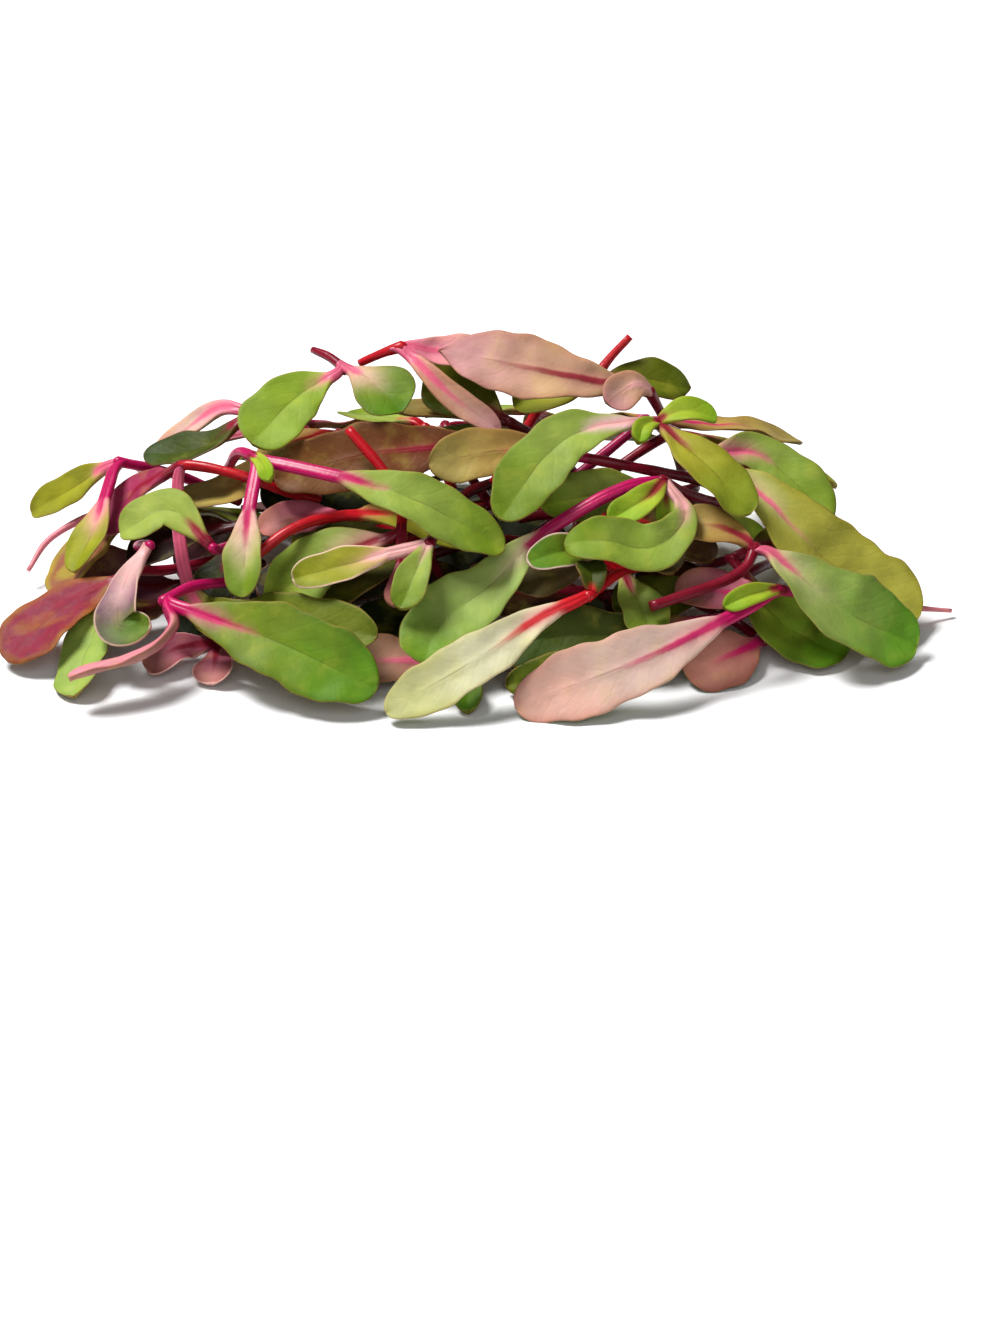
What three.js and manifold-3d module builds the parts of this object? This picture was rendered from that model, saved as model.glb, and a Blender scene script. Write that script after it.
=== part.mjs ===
// A heap of cut red chard microgreens on a flat surface. Each seedling is one piece: a red stem that
// forks into two long seed leaves. The seedlings lie over one another. Millimetres, +Z up, and the
// side that is seen first faces -Y.

import * as THREE from 'three';
import { mergeVertices } from 'three/addons/utils/BufferGeometryUtils.js';
import Module from 'manifold-3d';

// The heap: how far it reaches from its middle line, and how much its leaves lean with its sides and
// to the front
const HEAP_HALF_LENGTH = 60;
const HEAP_FRONT = 41;
const HEAP_BACK = 27;
const HEAP_HEIGHT = 27;
const HEAP_RIDGE_Y = -1;
const HEAP_LEAN = 0.9;
const FRONT_LEAN = 0.3;

// One seedling
const STEM_RADIUS = 0.65;
const STEM_SIDES = 5;
const PETIOLE_HALF_WIDTH = 0.8;
const PETIOLE_THICKNESS = 1.2;
const BLADE_THICKNESS = 0.65;
const WIDEST = 0.62;
const TIP_SHARE = 0.25;
const STATION_STEP = 4;
const BLADE_STATIONS = [0.15, 0.35, 0.55, 0.75, 0.91, 1];
const PLAIN_STATIONS = [0.3, 0.6, 0.85, 1];

// How they are laid: small cells of space, the distance kept to what is laid already, how far a ring
// may be lifted or lowered, how steeply one lift may follow another, and what each move costs
const CELL = 0.3;
const KEPT_CLEAR = 0.45;
const PRESSED = 0.06;
const SPACE_X = 66;
const SPACE_Y = 46;
const SPACE_LOW = -1;
const SPACE_HIGH = 44;
const LIFT_STEP = 0.4;
const LIFT_STEPS = 22;
const STEEPEST = 3;
const STEEPEST_SHARE = 0.5;
const LIFT_COST = 1;
const RAISE_COST = 12;
const STEM_SHARE = 0.25;
const BEND_COST = 60;
const CROWDED_COST = 500;
const MOST_CROWDED = 60;
const SETTLE_STEP = 0.05;
const SETTLE_STEPS = 60;

// Colours of a seedling's leaves, seen from a step away
const TONES = {
  green: 0x86a35a,
  olive: 0x7c8a3c,
  beige: 0xc9b48d,
  blush: 0xcf9a8e,
  brown: 0x9c6a4c,
  crimson: 0x8c2f4a,
  purple: 0x8a3f63,
};

// A leaf runs from its seedling's fork through the points. The width is the blade's. Its options are
// the petiole's share of the length, how pointed its tip is, the turn about its own length in degrees
// at the base and the tip, how much more than the heap's side it leans to the front, how far its
// edges rise, whether it lies level instead, and whether it has fewer rings, for the small first true
// leaves and the leaves that fill the heap.
function leaf(points, width, options = {}) {
  const usual = { petiole: 0.15, point: 0, turn: [0, 0], lean: FRONT_LEAN, cup: 0.7, level: false };
  return { points, width, ...usual, plain: false, ...options };
}

// A seedling: its fork, the points of its stem from there to the cut end, and its leaves.
function seedling(name, tone, fork, stem, leaves) {
  return { name, tone, fork, stem, leaves };
}

// The seedlings that show and those that carry them inside, the uppermost first. Points are x, y
// and height.
const SHOWN = [
  seedling('top_beige', 'beige', [19.5, -1, 23.7], [[22, 3, 17], [24, 8, 9]], [
    leaf([[10, -2, 26], [-4.5, 0.2, 28.2]], 7.8, { petiole: 0.13, point: 0.7, turn: [-25, -25] }),
    leaf([[17.5, -2.5, 25], [14.5, -5, 24]], 4.5, { petiole: 0.13, turn: [-20, -20] }),
  ]),
  seedling('top_pink', 'blush', [-8.5, 1.5, 29.3], [[-10.5, 1.8, 28.2], [-13.5, 2.5, 26]], [
    leaf([[-4.5, -2.5, 28.2], [2.5, -5.5, 24.3]], 3.2, { turn: [20, 20] }),
    leaf([[-3, 3, 27.2], [5, 4.5, 24.8]], 5.6, { petiole: 0.04, turn: [20, 20] }),
  ]),
  seedling('top_right_two_tone', 'green', [20, -5.5, 21.8], [[24, 0, 17], [28, 5, 10]], [
    leaf([[12.5, -9, 22.8], [7.5, -12.5, 21], [2.5, -19, 16.5]], 7.2, { petiole: 0.13 }),
    leaf([[25, -11, 19.8], [30.5, -15, 15.2]], 6.5, { petiole: 0.1 }),
    leaf([[23.5, -5, 23], [27, -5, 22]], 3.6, { petiole: 0.13, plain: true }),
    leaf([[18.5, -7.5, 22], [18, -9, 21]], 2.4, { petiole: 0.13, plain: true }),
  ]),
  seedling('top_left_green', 'green', [-15, 1, 25.5], [[-17, 3.5, 26], [-19, 5.5, 26]], [
    leaf([[-20.5, -2, 23.6], [-25.5, -7.5, 20.3]], 8, { turn: [-20, -20] }),
    leaf([[-12, -2, 25.5], [-8.5, -5.5, 23.3]], 7.2, { point: 0.3 }),
  ]),
  seedling('middle_magenta_stalk', 'green', [-24.5, -11, 20], [[-27, -7, 19], [-29, 0, 13]], [
    leaf([[-15, -15, 19.7], [-6.5, -17.5, 18.5], [3, -19.5, 17]], 6.5, { petiole: 0.35 }),
    leaf([[-25.5, -17.5, 15.5], [-26, -24, 9.5]], 4.6, { petiole: 0.4 }),
    leaf([[-23.8, -12.5, 20], [-23.2, -14, 18.8]], 2, { petiole: 0.13, plain: true }),
  ]),
  seedling('left_scoop', 'purple', [-36.5, -17.5, 12.5], [[-37.5, -14.5, 11], [-38.5, -11, 9]], [
    leaf([[-39, -21, 9.5], [-39.5, -25, 6.5], [-36, -25.7, 6.8]], 5, { petiole: 0.13 }),
  ]),
  seedling('front_left_green', 'green', [-35, -22, 7.7], [[-32, -19, 8], [-28, -16, 7]], [
    leaf([[-22, -29, 6.5], [-11, -33.5, 3]], 8.8, { petiole: 0.13, cup: 1 }),
    leaf([[-33.5, -25.5, 6.6], [-36.5, -29.5, 5.4], [-44.5, -32.9, 4]], 3.4, { turn: [50, 50] }),
  ]),
  seedling('left_arched', 'green', [-29.5, -18, 13], [[-29, -16, 11.5], [-27, -12, 10]], [
    leaf([[-34.5, -14, 15.5], [-40, -14.5, 11]], 5.5, { petiole: 0.13 }),
  ]),
  seedling('left_magenta_stalk', 'green', [-41.5, -0.5, 14.5], [[-35, 3, 11], [-28, 6, 6]], [
    leaf([[-43, -9, 11.5], [-45.5, -14.5, 7.5]], 4.8, { petiole: 0.4 }),
    leaf([[-46.5, 1.8, 10.2], [-52, 2.5, 6.3]], 4.6, { turn: [-25, -25] }),
  ]),
  seedling('left_mottled_large', 'crimson', [-39, -15, 8], [[-35, -11, 6], [-29, -6, 5]], [
    leaf([[-45, -17.5, 6.5], [-52.3, -24.3, 1.5]], 8.5, { petiole: 0.13 }),
    leaf([[-43, -22.5, 3.2], [-44.3, -31.2, 0.9]], 6.5, { petiole: 0.13 }),
  ]),
  seedling('front_cream', 'beige', [12, -26, 10.5], [[16, -21, 11], [21, -15, 9]], [
    leaf([[6.5, -28.5, 9], [0, -32, 6], [-10, -35.5, 1.2]], 6, { petiole: 0.13 }),
    leaf([[12.5, -24.5, 12], [12, -22, 12.5]], 3.4, { petiole: 0.1, plain: true }),
  ]),
  seedling('front_blush', 'blush', [33, -21, 9], [[41, -15, 5], [49, -13, 2.5], [54, -11.5, 1.2]], [
    leaf([[28.5, -25, 8.2], [17.5, -31, 5.5], [4, -34, 1.5]], 8, { petiole: 0.25 }),
    leaf([[28, -20, 8], [22, -18.5, 8]], 5.5, { plain: true }),
    leaf([[30, -23.5, 9.6], [27, -25, 9]], 2.6, { petiole: 0.13, plain: true }),
  ]),
  seedling('right_large_green', 'green', [31, -17.5, 13], [[28.5, -21, 10.5], [19, -25.5, 9]], [
    leaf([[35, -20, 10.2], [41.5, -22, 6], [49, -21.5, 1.8]], 10, { petiole: 0.1, cup: 1.2 }),
    leaf([[27, -16, 14.5], [22.5, -15, 14.5]], 5, { petiole: 0.13 }),
  ]),
  seedling('middle_small_pale', 'green', [-5.5, -20.5, 14], [[-4, -16, 14], [-1, -12, 13]], [
    leaf([[-7, -24, 12], [-8.5, -27, 9.5]], 4, { petiole: 0.1 }),
    leaf([[-14.5, -22, 12.3], [-20.5, -23, 11]], 4.5, { petiole: 0.3 }),
  ]),
  seedling('middle_long_green', 'green', [20.5, -12, 17.8], [[24.5, -8.5, 14], [30, -3, 10], [33, 3, 8]], [
    leaf([[13.5, -15, 17.8], [7, -17.5, 16.8], [2, -20.5, 14.6], [-4, -26, 11.5], [-6, -31, 7]], 8, {
      petiole: 0.4,
    }),
    leaf([[23, -16, 15.5], [20, -20.5, 14], [14.5, -21.5, 14], [9.5, -21, 13.5]], 6),
    leaf([[19, -15.5, 17.5], [14.5, -18.5, 16]], 3.6, { petiole: 0.13, plain: true }),
    leaf([[20.8, -14, 16.5], [21, -17.5, 14.2]], 3, { petiole: 0.13, plain: true }),
  ]),
  seedling('top_long_brown', 'brown', [11, -9, 19.5], [[18, -9, 18], [25, -4, 14], [29, 0, 10]], [
    leaf([[4, -7, 21.8], [-6, -8, 22], [-23, -9.5, 18]], 7.5, { petiole: 0.3, turn: [-15, -20] }),
    leaf([[2.5, -10, 20.5], [-5.5, -11.5, 19.5]], 6, { turn: [-20, -20] }),
  ]),
  seedling('right_large_folded', 'green', [24.5, -4.5, 17.5], [
    [31, 0, 14.5], [38, -1.5, 12], [42, -7.5, 9],
  ], [
    leaf([[31, -8.5, 16], [38, -13, 12], [50, -15.5, 3.5]], 11, { petiole: 0.1, cup: 1.4 }),
    leaf([[31, -2, 17.3], [35.5, -3.5, 14.8], [40, -8, 11.5]], 6.6, { petiole: 0.13, turn: [20, 20] }),
  ]),
  seedling('left_red_arc', 'green', [-34, -6.5, 17], [[-32.5, -7, 17.6], [-25, -9, 16.5], [-18, -7, 13]], [
    leaf([[-33.7, -11, 12.3], [-32, -16.5, 9.5], [-28, -21.5, 9], [-22.5, -24.5, 9], [-11, -28.5, 7.5]], 7, {
      petiole: 0.3,
    }),
    leaf([[-39, -4, 14], [-42, -9, 10]], 6),
  ]),
  seedling('middle_red_stub', 'green', [-8.5, -17.5, 15], [[-9, -14, 18], [-14.5, -9, 23]], [
    leaf([[-16, -18.5, 13.5], [-24, -20.5, 10]], 8, { petiole: 0.13, point: 0.4 }),
    leaf([[-8.3, -21.3, 12], [-9.5, -24, 9.8]], 3, { petiole: 0.4 }),
  ]),
  seedling('middle_green_point', 'green', [-15, -13.5, 17], [[-21, -17, 15.5], [-27, -20, 12.5]], [
    leaf([[-8, -12, 18], [0.5, -11.5, 18.5]], 6.5, { petiole: 0.13, point: 0.4 }),
    leaf([[-19.5, -12, 15.5], [-24.5, -13, 13]], 5, { petiole: 0.13 }),
  ]),
  seedling('middle_small_boat', 'green', [16, -18, 11.5], [[21, -12, 9], [26, -6, 6]], [
    leaf([[18, -23, 10], [19, -27, 7]], 5.5, { petiole: 0.1 }),
    leaf([[12.5, -18, 14.5], [9, -20, 16.5], [5.5, -21.5, 16]], 4.2, { petiole: 0.3 }),
  ]),
  seedling('top_kite', 'olive', [3.5, -1, 20.5], [[8, 2, 16], [12, 5, 10]], [
    leaf([[-1.5, 1.5, 23.5], [-6.5, 1, 24]], 7, { turn: [-25, -25] }),
    leaf([[-3, 1, 20.5], [-9.5, 2, 20.5]], 3),
  ]),
  seedling('top_right_olive', 'olive', [13, 3.5, 22.5], [[15, 5, 25], [17.5, 6, 27.5]], [
    leaf([[18, 4, 23], [24.5, 4.5, 21.5]], 5.5, { point: 0.5, turn: [25, 25] }),
    leaf([[9, 2, 22], [4, 1.5, 21]], 4.5, { turn: [-20, -20] }),
  ]),
  seedling('left_crest', 'beige', [-26, 0.5, 20], [[-22, 3, 15], [-17, 6, 9]], [
    leaf([[-30, 2.5, 19.3], [-37.5, 3, 13.3]], 3.4, { turn: [-15, -15] }),
    leaf([[-31.5, -1, 16.5], [-38.5, 0.5, 14.5]], 5),
  ]),
  seedling('middle_pale', 'green', [21.5, -6.5, 15.5], [[25, -1, 12], [23, 4, 8]], [
    leaf([[15, -9.5, 16.5], [7, -13.5, 15.5]], 6, { turn: [-10, -10] }),
    leaf([[28, -3, 13], [34, 1, 10]], 6),
  ]),
  seedling('left_mottled_inner', 'crimson', [-36, -2.5, 12.5], [
    [-43, 1, 8], [-49.5, -1, 5], [-52, -4.5, 2.5],
  ], [
    leaf([[-43.5, -6, 9], [-47.5, -14, 4]], 7),
    leaf([[-31, 2, 12], [-24, 6, 12]], 6.5),
  ]),
  seedling('right_low_green', 'green', [29, -12, 8.5], [[24, -6, 6], [19, 0, 4]], [
    leaf([[32, -18, 6], [41, -22.5, 1.2]], 8.5),
    leaf([[36, -7, 7.5], [45, -4, 3]], 7.5),
  ]),
  seedling('front_right_pink', 'blush', [32, -20.5, 3.5], [[28, -16, 3], [22, -11, 3]], [
    leaf([[28, -25, 3], [23, -27.5, 1.4]], 7),
    leaf([[38, -15, 3.5], [45, -11, 2]], 7),
  ]),
  seedling('front_middle_brown', 'brown', [-3, -25.5, 3], [[2, -21, 3], [8, -12, 3]], [
    leaf([[-9, -26.5, 3], [-15.5, -25.5, 3]], 6),
    leaf([[-1.5, -30, 2], [-1, -34, 0.9]], 3.5, { petiole: 0.1 }),
  ]),
  seedling('front_long_pair', 'olive', [28, -20, 5], [[34, -14, 4], [40, -9, 3]], [
    leaf([[20, -23.5, 6], [10, -24.5, 6.5], [0, -26.5, 6]], 6.5),
    leaf([[20, -24.8, 4.2], [12, -28, 2.2], [3, -29.5, 1.5]], 6),
  ]),
  seedling('right_inner_olive', 'olive', [27, -16, 6], [[32, -9, 5], [35, -3, 3]], [
    leaf([[22, -17, 7], [15, -17.5, 7]], 6.5),
    leaf([[24, -12, 7], [18, -10, 8]], 5),
  ]),
  seedling('left_curled_pair', 'blush', [-29, -21, 3], [[-24, -15, 3], [-17, -9, 3]], [
    leaf([[-29, -24.5, 3], [-29.5, -28, 0.8]], 5),
    leaf([[-33, -22, 2.5], [-36.5, -25.5, 0.8]], 5),
  ]),
  seedling('lowest', 'green', [-4, -3, 0.8], [[2, 0, 2], [8, 5, 4]], [
    leaf([[-11, -4, 0.34], [-19, -6, 0.34], [-26, -9, 0.34]], 9, { level: true, cup: 0 }),
    leaf([[3, -6, 0.34], [11, -9, 0.34], [18, -11, 0.34]], 9, { level: true, cup: 0 }),
  ]),
  seedling('left_inner_olive', 'olive', [-27, -7, 11], [[-21, -3, 8], [-14, -1, 6]], [
    leaf([[-34, -6, 11.5], [-40, -8, 9]], 6),
    leaf([[-29, -12, 9.5], [-33, -19, 6.5]], 6.5),
  ]),
  seedling('left_inner_crimson', 'crimson', [-33, -9, 8], [[-28, -4, 7], [-22, 1, 6]], [
    leaf([[-38, -8.5, 6.5], [-45.5, -6, 4.5]], 8, { plain: true }),
    leaf([[-32.5, -5, 7], [-30.5, 0.5, 6]], 7, { plain: true }),
  ]),
  seedling('left_inner_brown', 'brown', [-34, -12.5, 6.5], [[-30, -7, 5], [-25, -2, 4]], [
    leaf([[-38, -16, 5], [-42, -20, 3]], 6),
  ]),
  seedling('inner_left', 'olive', [-6, -10, 7], [[0, -8, 8], [6, -6, 7]], [
    leaf([[-14, -12.5, 6], [-25, -15.5, 5.5]], 8),
    leaf([[-4, -15, 6], [-6, -21, 4.5]], 7),
  ]),
  seedling('inner_right', 'brown', [14, -12, 7], [[20, -10, 8], [26, -8, 6]], [
    leaf([[7, -15, 6], [-1, -19, 4.5]], 8),
    leaf([[17, -17, 6], [20, -22, 4.5]], 6),
  ]),
  seedling('middle_inner_dark', 'green', [0, -14, 8], [[5, -9, 9], [9, -4, 9]], [
    leaf([[-6, -17, 8], [-13, -20, 6.5]], 7),
    leaf([[-1, -9, 9], [-8, -7, 9]], 6),
  ]),
  seedling('inner_back_left', 'green', [-4, 0, 6], [[-1, 4, 8], [3, 8, 8]], [
    leaf([[-13, -2, 5], [-25, -3, 4]], 9, { plain: true }),
    leaf([[4, -2, 5], [10, -5, 5]], 8, { plain: true }),
  ]),
  seedling('inner_back_right', 'olive', [13, 0, 7], [[14, 5, 8], [12, 9, 8]], [
    leaf([[20, 2, 7], [29, 3, 5]], 9, { plain: true }),
    leaf([[7, 4, 5], [-1, 7, 5]], 8, { plain: true }),
  ]),
];

// The height that the heap's surface has at a place, and the way that a leaf faces there
function heapHeight(x, y) {
  const depth = y < HEAP_RIDGE_Y ? HEAP_FRONT : HEAP_BACK;
  const along = Math.abs(x / HEAP_HALF_LENGTH) ** 2.6;
  const across = ((y - HEAP_RIDGE_Y) / depth) ** 2;
  return HEAP_HEIGHT * (1 - (along + across) ** 0.75);
}

function leafFacing({ x, y }, lean) {
  const depth = y < HEAP_RIDGE_Y ? HEAP_FRONT : HEAP_BACK;
  return new THREE.Vector3(
    (HEAP_LEAN * x) / HEAP_HALF_LENGTH,
    (HEAP_LEAN * (y - HEAP_RIDGE_Y)) / depth - lean,
    1,
  ).normalize();
}

// The seedlings that only fill the heap are spread by the golden ratio and two numbers like it,
// whose steps give even places without random draws. Each is offered several places and takes the
// one where it fits best.
const GOLDEN = 0.618034;
const SILVER = 0.414214;
const BRONZE = 0.302776;
const FILL_TONES = ['green', 'beige', 'olive', 'green', 'blush', 'green', 'brown'];
const OFFERS = 9;

function evenStep(index, rate) {
  const step = (index + 1) * rate;
  return step - Math.floor(step);
}

function fillSeedling(name, index, bearing, ring, depth) {
  const reach = bearing > 0 && bearing < Math.PI ? HEAP_BACK : HEAP_FRONT;
  const place = (share, turn) => {
    const x = HEAP_HALF_LENGTH * share * Math.cos(bearing + turn);
    const y = HEAP_RIDGE_Y + reach * share * Math.sin(bearing + turn);
    return [x, y, Math.max(heapHeight(x, y) * depth, 1)];
  };
  const swing = 0.5 * (evenStep(index, SILVER) - 0.5);
  const side = index % 2 ? 1 : -1;
  const inward = place(ring * 0.45, swing);
  inward[2] *= 0.5;
  const small = { plain: true, lean: 0 };
  const first = [place(ring + 0.17, swing * 0.6), place(ring + 0.31, swing)];
  const second = [place(ring + 0.1, side * 0.3), place(ring + 0.16, side * 0.62)];
  return seedling(name, FILL_TONES[index % FILL_TONES.length], place(ring, 0), [inward], [
    leaf(first, 6.5 + 2.5 * evenStep(index, BRONZE), small),
    leaf(second, 6 + 2 * evenStep(index, GOLDEN), small),
  ]);
}

const BED_COUNT = 7;
const BACK_COUNT = 9;

function bedOffers(number) {
  return Array.from({ length: OFFERS }, (_, offer) => {
    const index = number * OFFERS + offer;
    const bearing = 2 * Math.PI * evenStep(index, GOLDEN);
    const ring = 0.2 + 0.28 * evenStep(index, SILVER);
    return fillSeedling(`bed_seedling_${number + 1}`, index, bearing, ring, 0.46);
  });
}

function backOffers(number) {
  return Array.from({ length: OFFERS }, (_, offer) => {
    const index = number * OFFERS + offer;
    const bearing = Math.PI * (0.06 + 0.9 * evenStep(number, GOLDEN) + 0.02 * (offer - 4));
    const ring = 0.58 - 0.036 * number - 0.03 * (offer % 3);
    return fillSeedling(`back_seedling_${number + 1}`, index, bearing, ring, 0.78);
  });
}

// A curve through the points, read by its length
function curveThrough(points) {
  const knots = points.map((point) => new THREE.Vector3(...point));
  return new THREE.CatmullRomCurve3(knots, false, 'catmullrom', 0.5);
}

function halfWidth(share, blade) {
  if (share <= blade.petiole) return PETIOLE_HALF_WIDTH;
  const along = (share - blade.petiole) / (1 - blade.petiole);
  const half = blade.width / 2;
  if (along < WIDEST) {
    const rise = Math.sin((Math.PI * along) / WIDEST / 2);
    return PETIOLE_HALF_WIDTH + (half - PETIOLE_HALF_WIDTH) * rise;
  }
  const past = (along - WIDEST) / (1 - WIDEST);
  return half * Math.max((1 - past ** 2.3) ** (0.45 + blade.point), TIP_SHARE);
}

// An arm is a stem or a leaf as rings of points along its curve. Each ring knows how far it is from
// the fork.
function bladeArm(fork, blade) {
  const curve = curveThrough([fork, ...blade.points]);
  const length = curve.getLength();
  const steps = Math.max(1, Math.round((blade.petiole * length) / STATION_STEP));
  const shares = [0];
  for (let i = 1; i <= steps; i += 1) shares.push((blade.petiole * i) / steps);
  for (const u of blade.plain ? PLAIN_STATIONS : BLADE_STATIONS) {
    shares.push(blade.petiole + u * (1 - blade.petiole));
  }
  const rings = shares.map((share) => {
    const middle = curve.getPointAt(share);
    const ahead = curve.getTangentAt(share);
    const facing = blade.level ? new THREE.Vector3(0, 0, 1) : leafFacing(middle, blade.lean);
    facing.addScaledVector(ahead, -facing.dot(ahead)).normalize();
    const turn = THREE.MathUtils.degToRad(THREE.MathUtils.lerp(blade.turn[0], blade.turn[1], share));
    facing.applyAxisAngle(ahead, turn);
    const side = new THREE.Vector3().crossVectors(ahead, facing);
    const half = halfWidth(share, blade);
    const thinning = Math.min(1, (half - PETIOLE_HALF_WIDTH) / 1.2);
    const thickness = THREE.MathUtils.lerp(PETIOLE_THICKNESS, BLADE_THICKNESS, Math.max(thinning, 0));
    const edgeThickness = Math.min(thickness, BLADE_THICKNESS);
    const rise = (blade.cup * half) / (blade.width / 2);
    const at = (across, up) => middle.clone().addScaledVector(side, across).addScaledVector(facing, up);
    return [
      at(-half, rise - edgeThickness / 2),
      at(0, -thickness / 2),
      at(half, rise - edgeThickness / 2),
      at(half, rise + edgeThickness / 2),
      at(0, thickness / 2),
      at(-half, rise + edgeThickness / 2),
    ];
  });
  return { rings, distances: shares.map((share) => share * length), caps: 'strip' };
}

function stemArm(fork, points) {
  const curve = curveThrough([fork, ...points]);
  const length = curve.getLength();
  const steps = Math.max(2, Math.round(length / STATION_STEP));
  const end = points[points.length - 1];
  const level = new THREE.Vector3(end[1] - fork[1], fork[0] - end[0], 0).normalize();
  const shares = Array.from({ length: steps + 1 }, (_, i) => i / steps);
  const rings = shares.map((share) => {
    const middle = curve.getPointAt(share);
    const ahead = curve.getTangentAt(share);
    const side = level.clone().addScaledVector(ahead, -level.dot(ahead)).normalize();
    const facing = new THREE.Vector3().crossVectors(side, ahead);
    return Array.from({ length: STEM_SIDES }, (_, i) => {
      const angle = (2 * Math.PI * i) / STEM_SIDES;
      return middle
        .clone()
        .addScaledVector(side, STEM_RADIUS * Math.cos(angle))
        .addScaledVector(facing, STEM_RADIUS * Math.sin(angle));
    });
  });
  return { rings, distances: shares.map((share) => share * length), caps: 'fan' };
}

// Triangles of an arm, as places in its list of ring points. The two faces of a blade are split
// alike, so a waved blade stays as thick all over.
function armTriangles(arm) {
  const sides = arm.rings[0].length;
  const last = arm.rings.length - 1;
  const triangles = [];
  for (let ring = 0; ring < last; ring += 1) {
    for (let i = 0; i < sides; i += 1) {
      const a = ring * sides + i;
      const b = ring * sides + ((i + 1) % sides);
      const c = a + sides;
      const d = b + sides;
      const upper = arm.caps === 'strip' && i > 2;
      if (upper) triangles.push([a, c, b], [b, c, d]);
      else triangles.push([a, c, d], [a, d, b]);
    }
  }
  const cap = arm.caps === 'strip'
    ? [[0, 1, 4], [0, 4, 5], [1, 2, 3], [1, 3, 4]]
    : Array.from({ length: sides - 2 }, (_, i) => [0, i + 1, i + 2]);
  for (const [i, j, k] of cap) {
    triangles.push([i, j, k]);
    triangles.push([last * sides + k, last * sides + j, last * sides + i]);
  }
  return triangles;
}

// Space is a block of cells. Each counts the surface points that come too close to it.
const cellsX = Math.ceil((2 * SPACE_X) / CELL);
const cellsY = Math.ceil((2 * SPACE_Y) / CELL);
const cellsZ = Math.ceil((SPACE_HIGH - SPACE_LOW) / CELL);
const taken = new Uint16Array(cellsX * cellsY * cellsZ);
const VALUES = 5;

// Points all over an arm's surface, listed by the ring that they lie after. Each has its place, how
// far it is towards the next ring, so that the lifts of both rings move it, and its column of cells.
function surfacePoints(arm) {
  const sides = arm.rings[0].length;
  const corners = arm.rings.flat();
  const after = arm.rings.slice(1).map(() => []);
  for (const [i, j, k] of arm.triangles) {
    const [a, b, c] = [corners[i], corners[j], corners[k]];
    const [ringA, ringB, ringC] = [i, j, k].map((corner) => Math.floor(corner / sides));
    const first = Math.min(ringA, ringB, ringC, after.length - 1);
    const count = Math.ceil(Math.max(a.distanceTo(b), b.distanceTo(c), c.distanceTo(a)) / CELL);
    for (let u = 0; u <= count; u += 1) {
      for (let v = 0; v <= count - u; v += 1) {
        const [p, q] = [u / count, v / count];
        const r = 1 - p - q;
        const x = p * a.x + q * b.x + r * c.x;
        const y = p * a.y + q * b.y + r * c.y;
        const z = p * a.z + q * b.z + r * c.z;
        const column = Math.floor((y + SPACE_Y) / CELL) * cellsX + Math.floor((x + SPACE_X) / CELL);
        after[first].push(x, y, z, p * ringA + q * ringB + r * ringC - first, column * cellsZ);
      }
    }
  }
  return after.map((values) => new Float64Array(values));
}

function crowding(points, low, high) {
  let crowded = 0;
  for (let i = 0; i < points.length && crowded < MOST_CROWDED; i += VALUES) {
    const z = points[i + 2] + low + (high - low) * points[i + 3];
    if (z < -PRESSED || taken[points[i + 4] + Math.floor((z - SPACE_LOW) / CELL)]) crowded += 1;
  }
  return crowded;
}

function liftCost(lift) {
  return lift > 0 ? RAISE_COST * lift : -LIFT_COST * lift;
}

// The cheapest way to lift an arm's rings, worked out from the tip back to the fork. A state is a
// ring's lift and the slope to the next ring, both in steps.
const SLOPES = 2 * STEEPEST + 1;
const STATES = (2 * LIFT_STEPS + 1) * SLOPES;

function stateOf(lift, slope) {
  return (lift + LIFT_STEPS) * SLOPES + slope + STEEPEST;
}

function planArm(arm) {
  const weight = arm.caps === 'fan' ? STEM_SHARE : 1;
  const gaps = arm.distances.slice(1).map((distance, i) => distance - arm.distances[i]);
  const plan = gaps.map(() => ({
    costs: new Float64Array(STATES).fill(Infinity),
    onward: new Int8Array(STATES),
  }));
  for (let ring = gaps.length - 1; ring >= 0; ring -= 1) {
    const steepest = Math.min(STEEPEST, Math.floor((STEEPEST_SHARE * gaps[ring]) / LIFT_STEP));
    for (let lift = -LIFT_STEPS; lift <= LIFT_STEPS; lift += 1) {
      for (let slope = -steepest; slope <= steepest; slope += 1) {
        const next = lift + slope;
        if (Math.abs(next) > LIFT_STEPS) continue;
        const crowded = crowding(arm.points[ring], lift * LIFT_STEP, next * LIFT_STEP);
        let cost = crowded * CROWDED_COST + weight * gaps[ring] * liftCost(next * LIFT_STEP);
        if (ring < gaps.length - 1) {
          let best = Infinity;
          for (let turn = -STEEPEST; turn <= STEEPEST; turn += 1) {
            const bend = (turn / gaps[ring + 1] - slope / gaps[ring]) * LIFT_STEP;
            const total = plan[ring + 1].costs[stateOf(next, turn)] + weight * BEND_COST * bend * bend;
            if (total < best) {
              best = total;
              plan[ring].onward[stateOf(lift, slope)] = turn;
            }
          }
          cost += best;
        }
        plan[ring].costs[stateOf(lift, slope)] = cost;
      }
    }
  }
  return plan;
}

function firstSlope(plan, lift) {
  let best = -STEEPEST;
  for (let slope = -STEEPEST; slope <= STEEPEST; slope += 1) {
    if (plan[0].costs[stateOf(lift, slope)] < plan[0].costs[stateOf(lift, best)]) best = slope;
  }
  return best;
}

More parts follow.
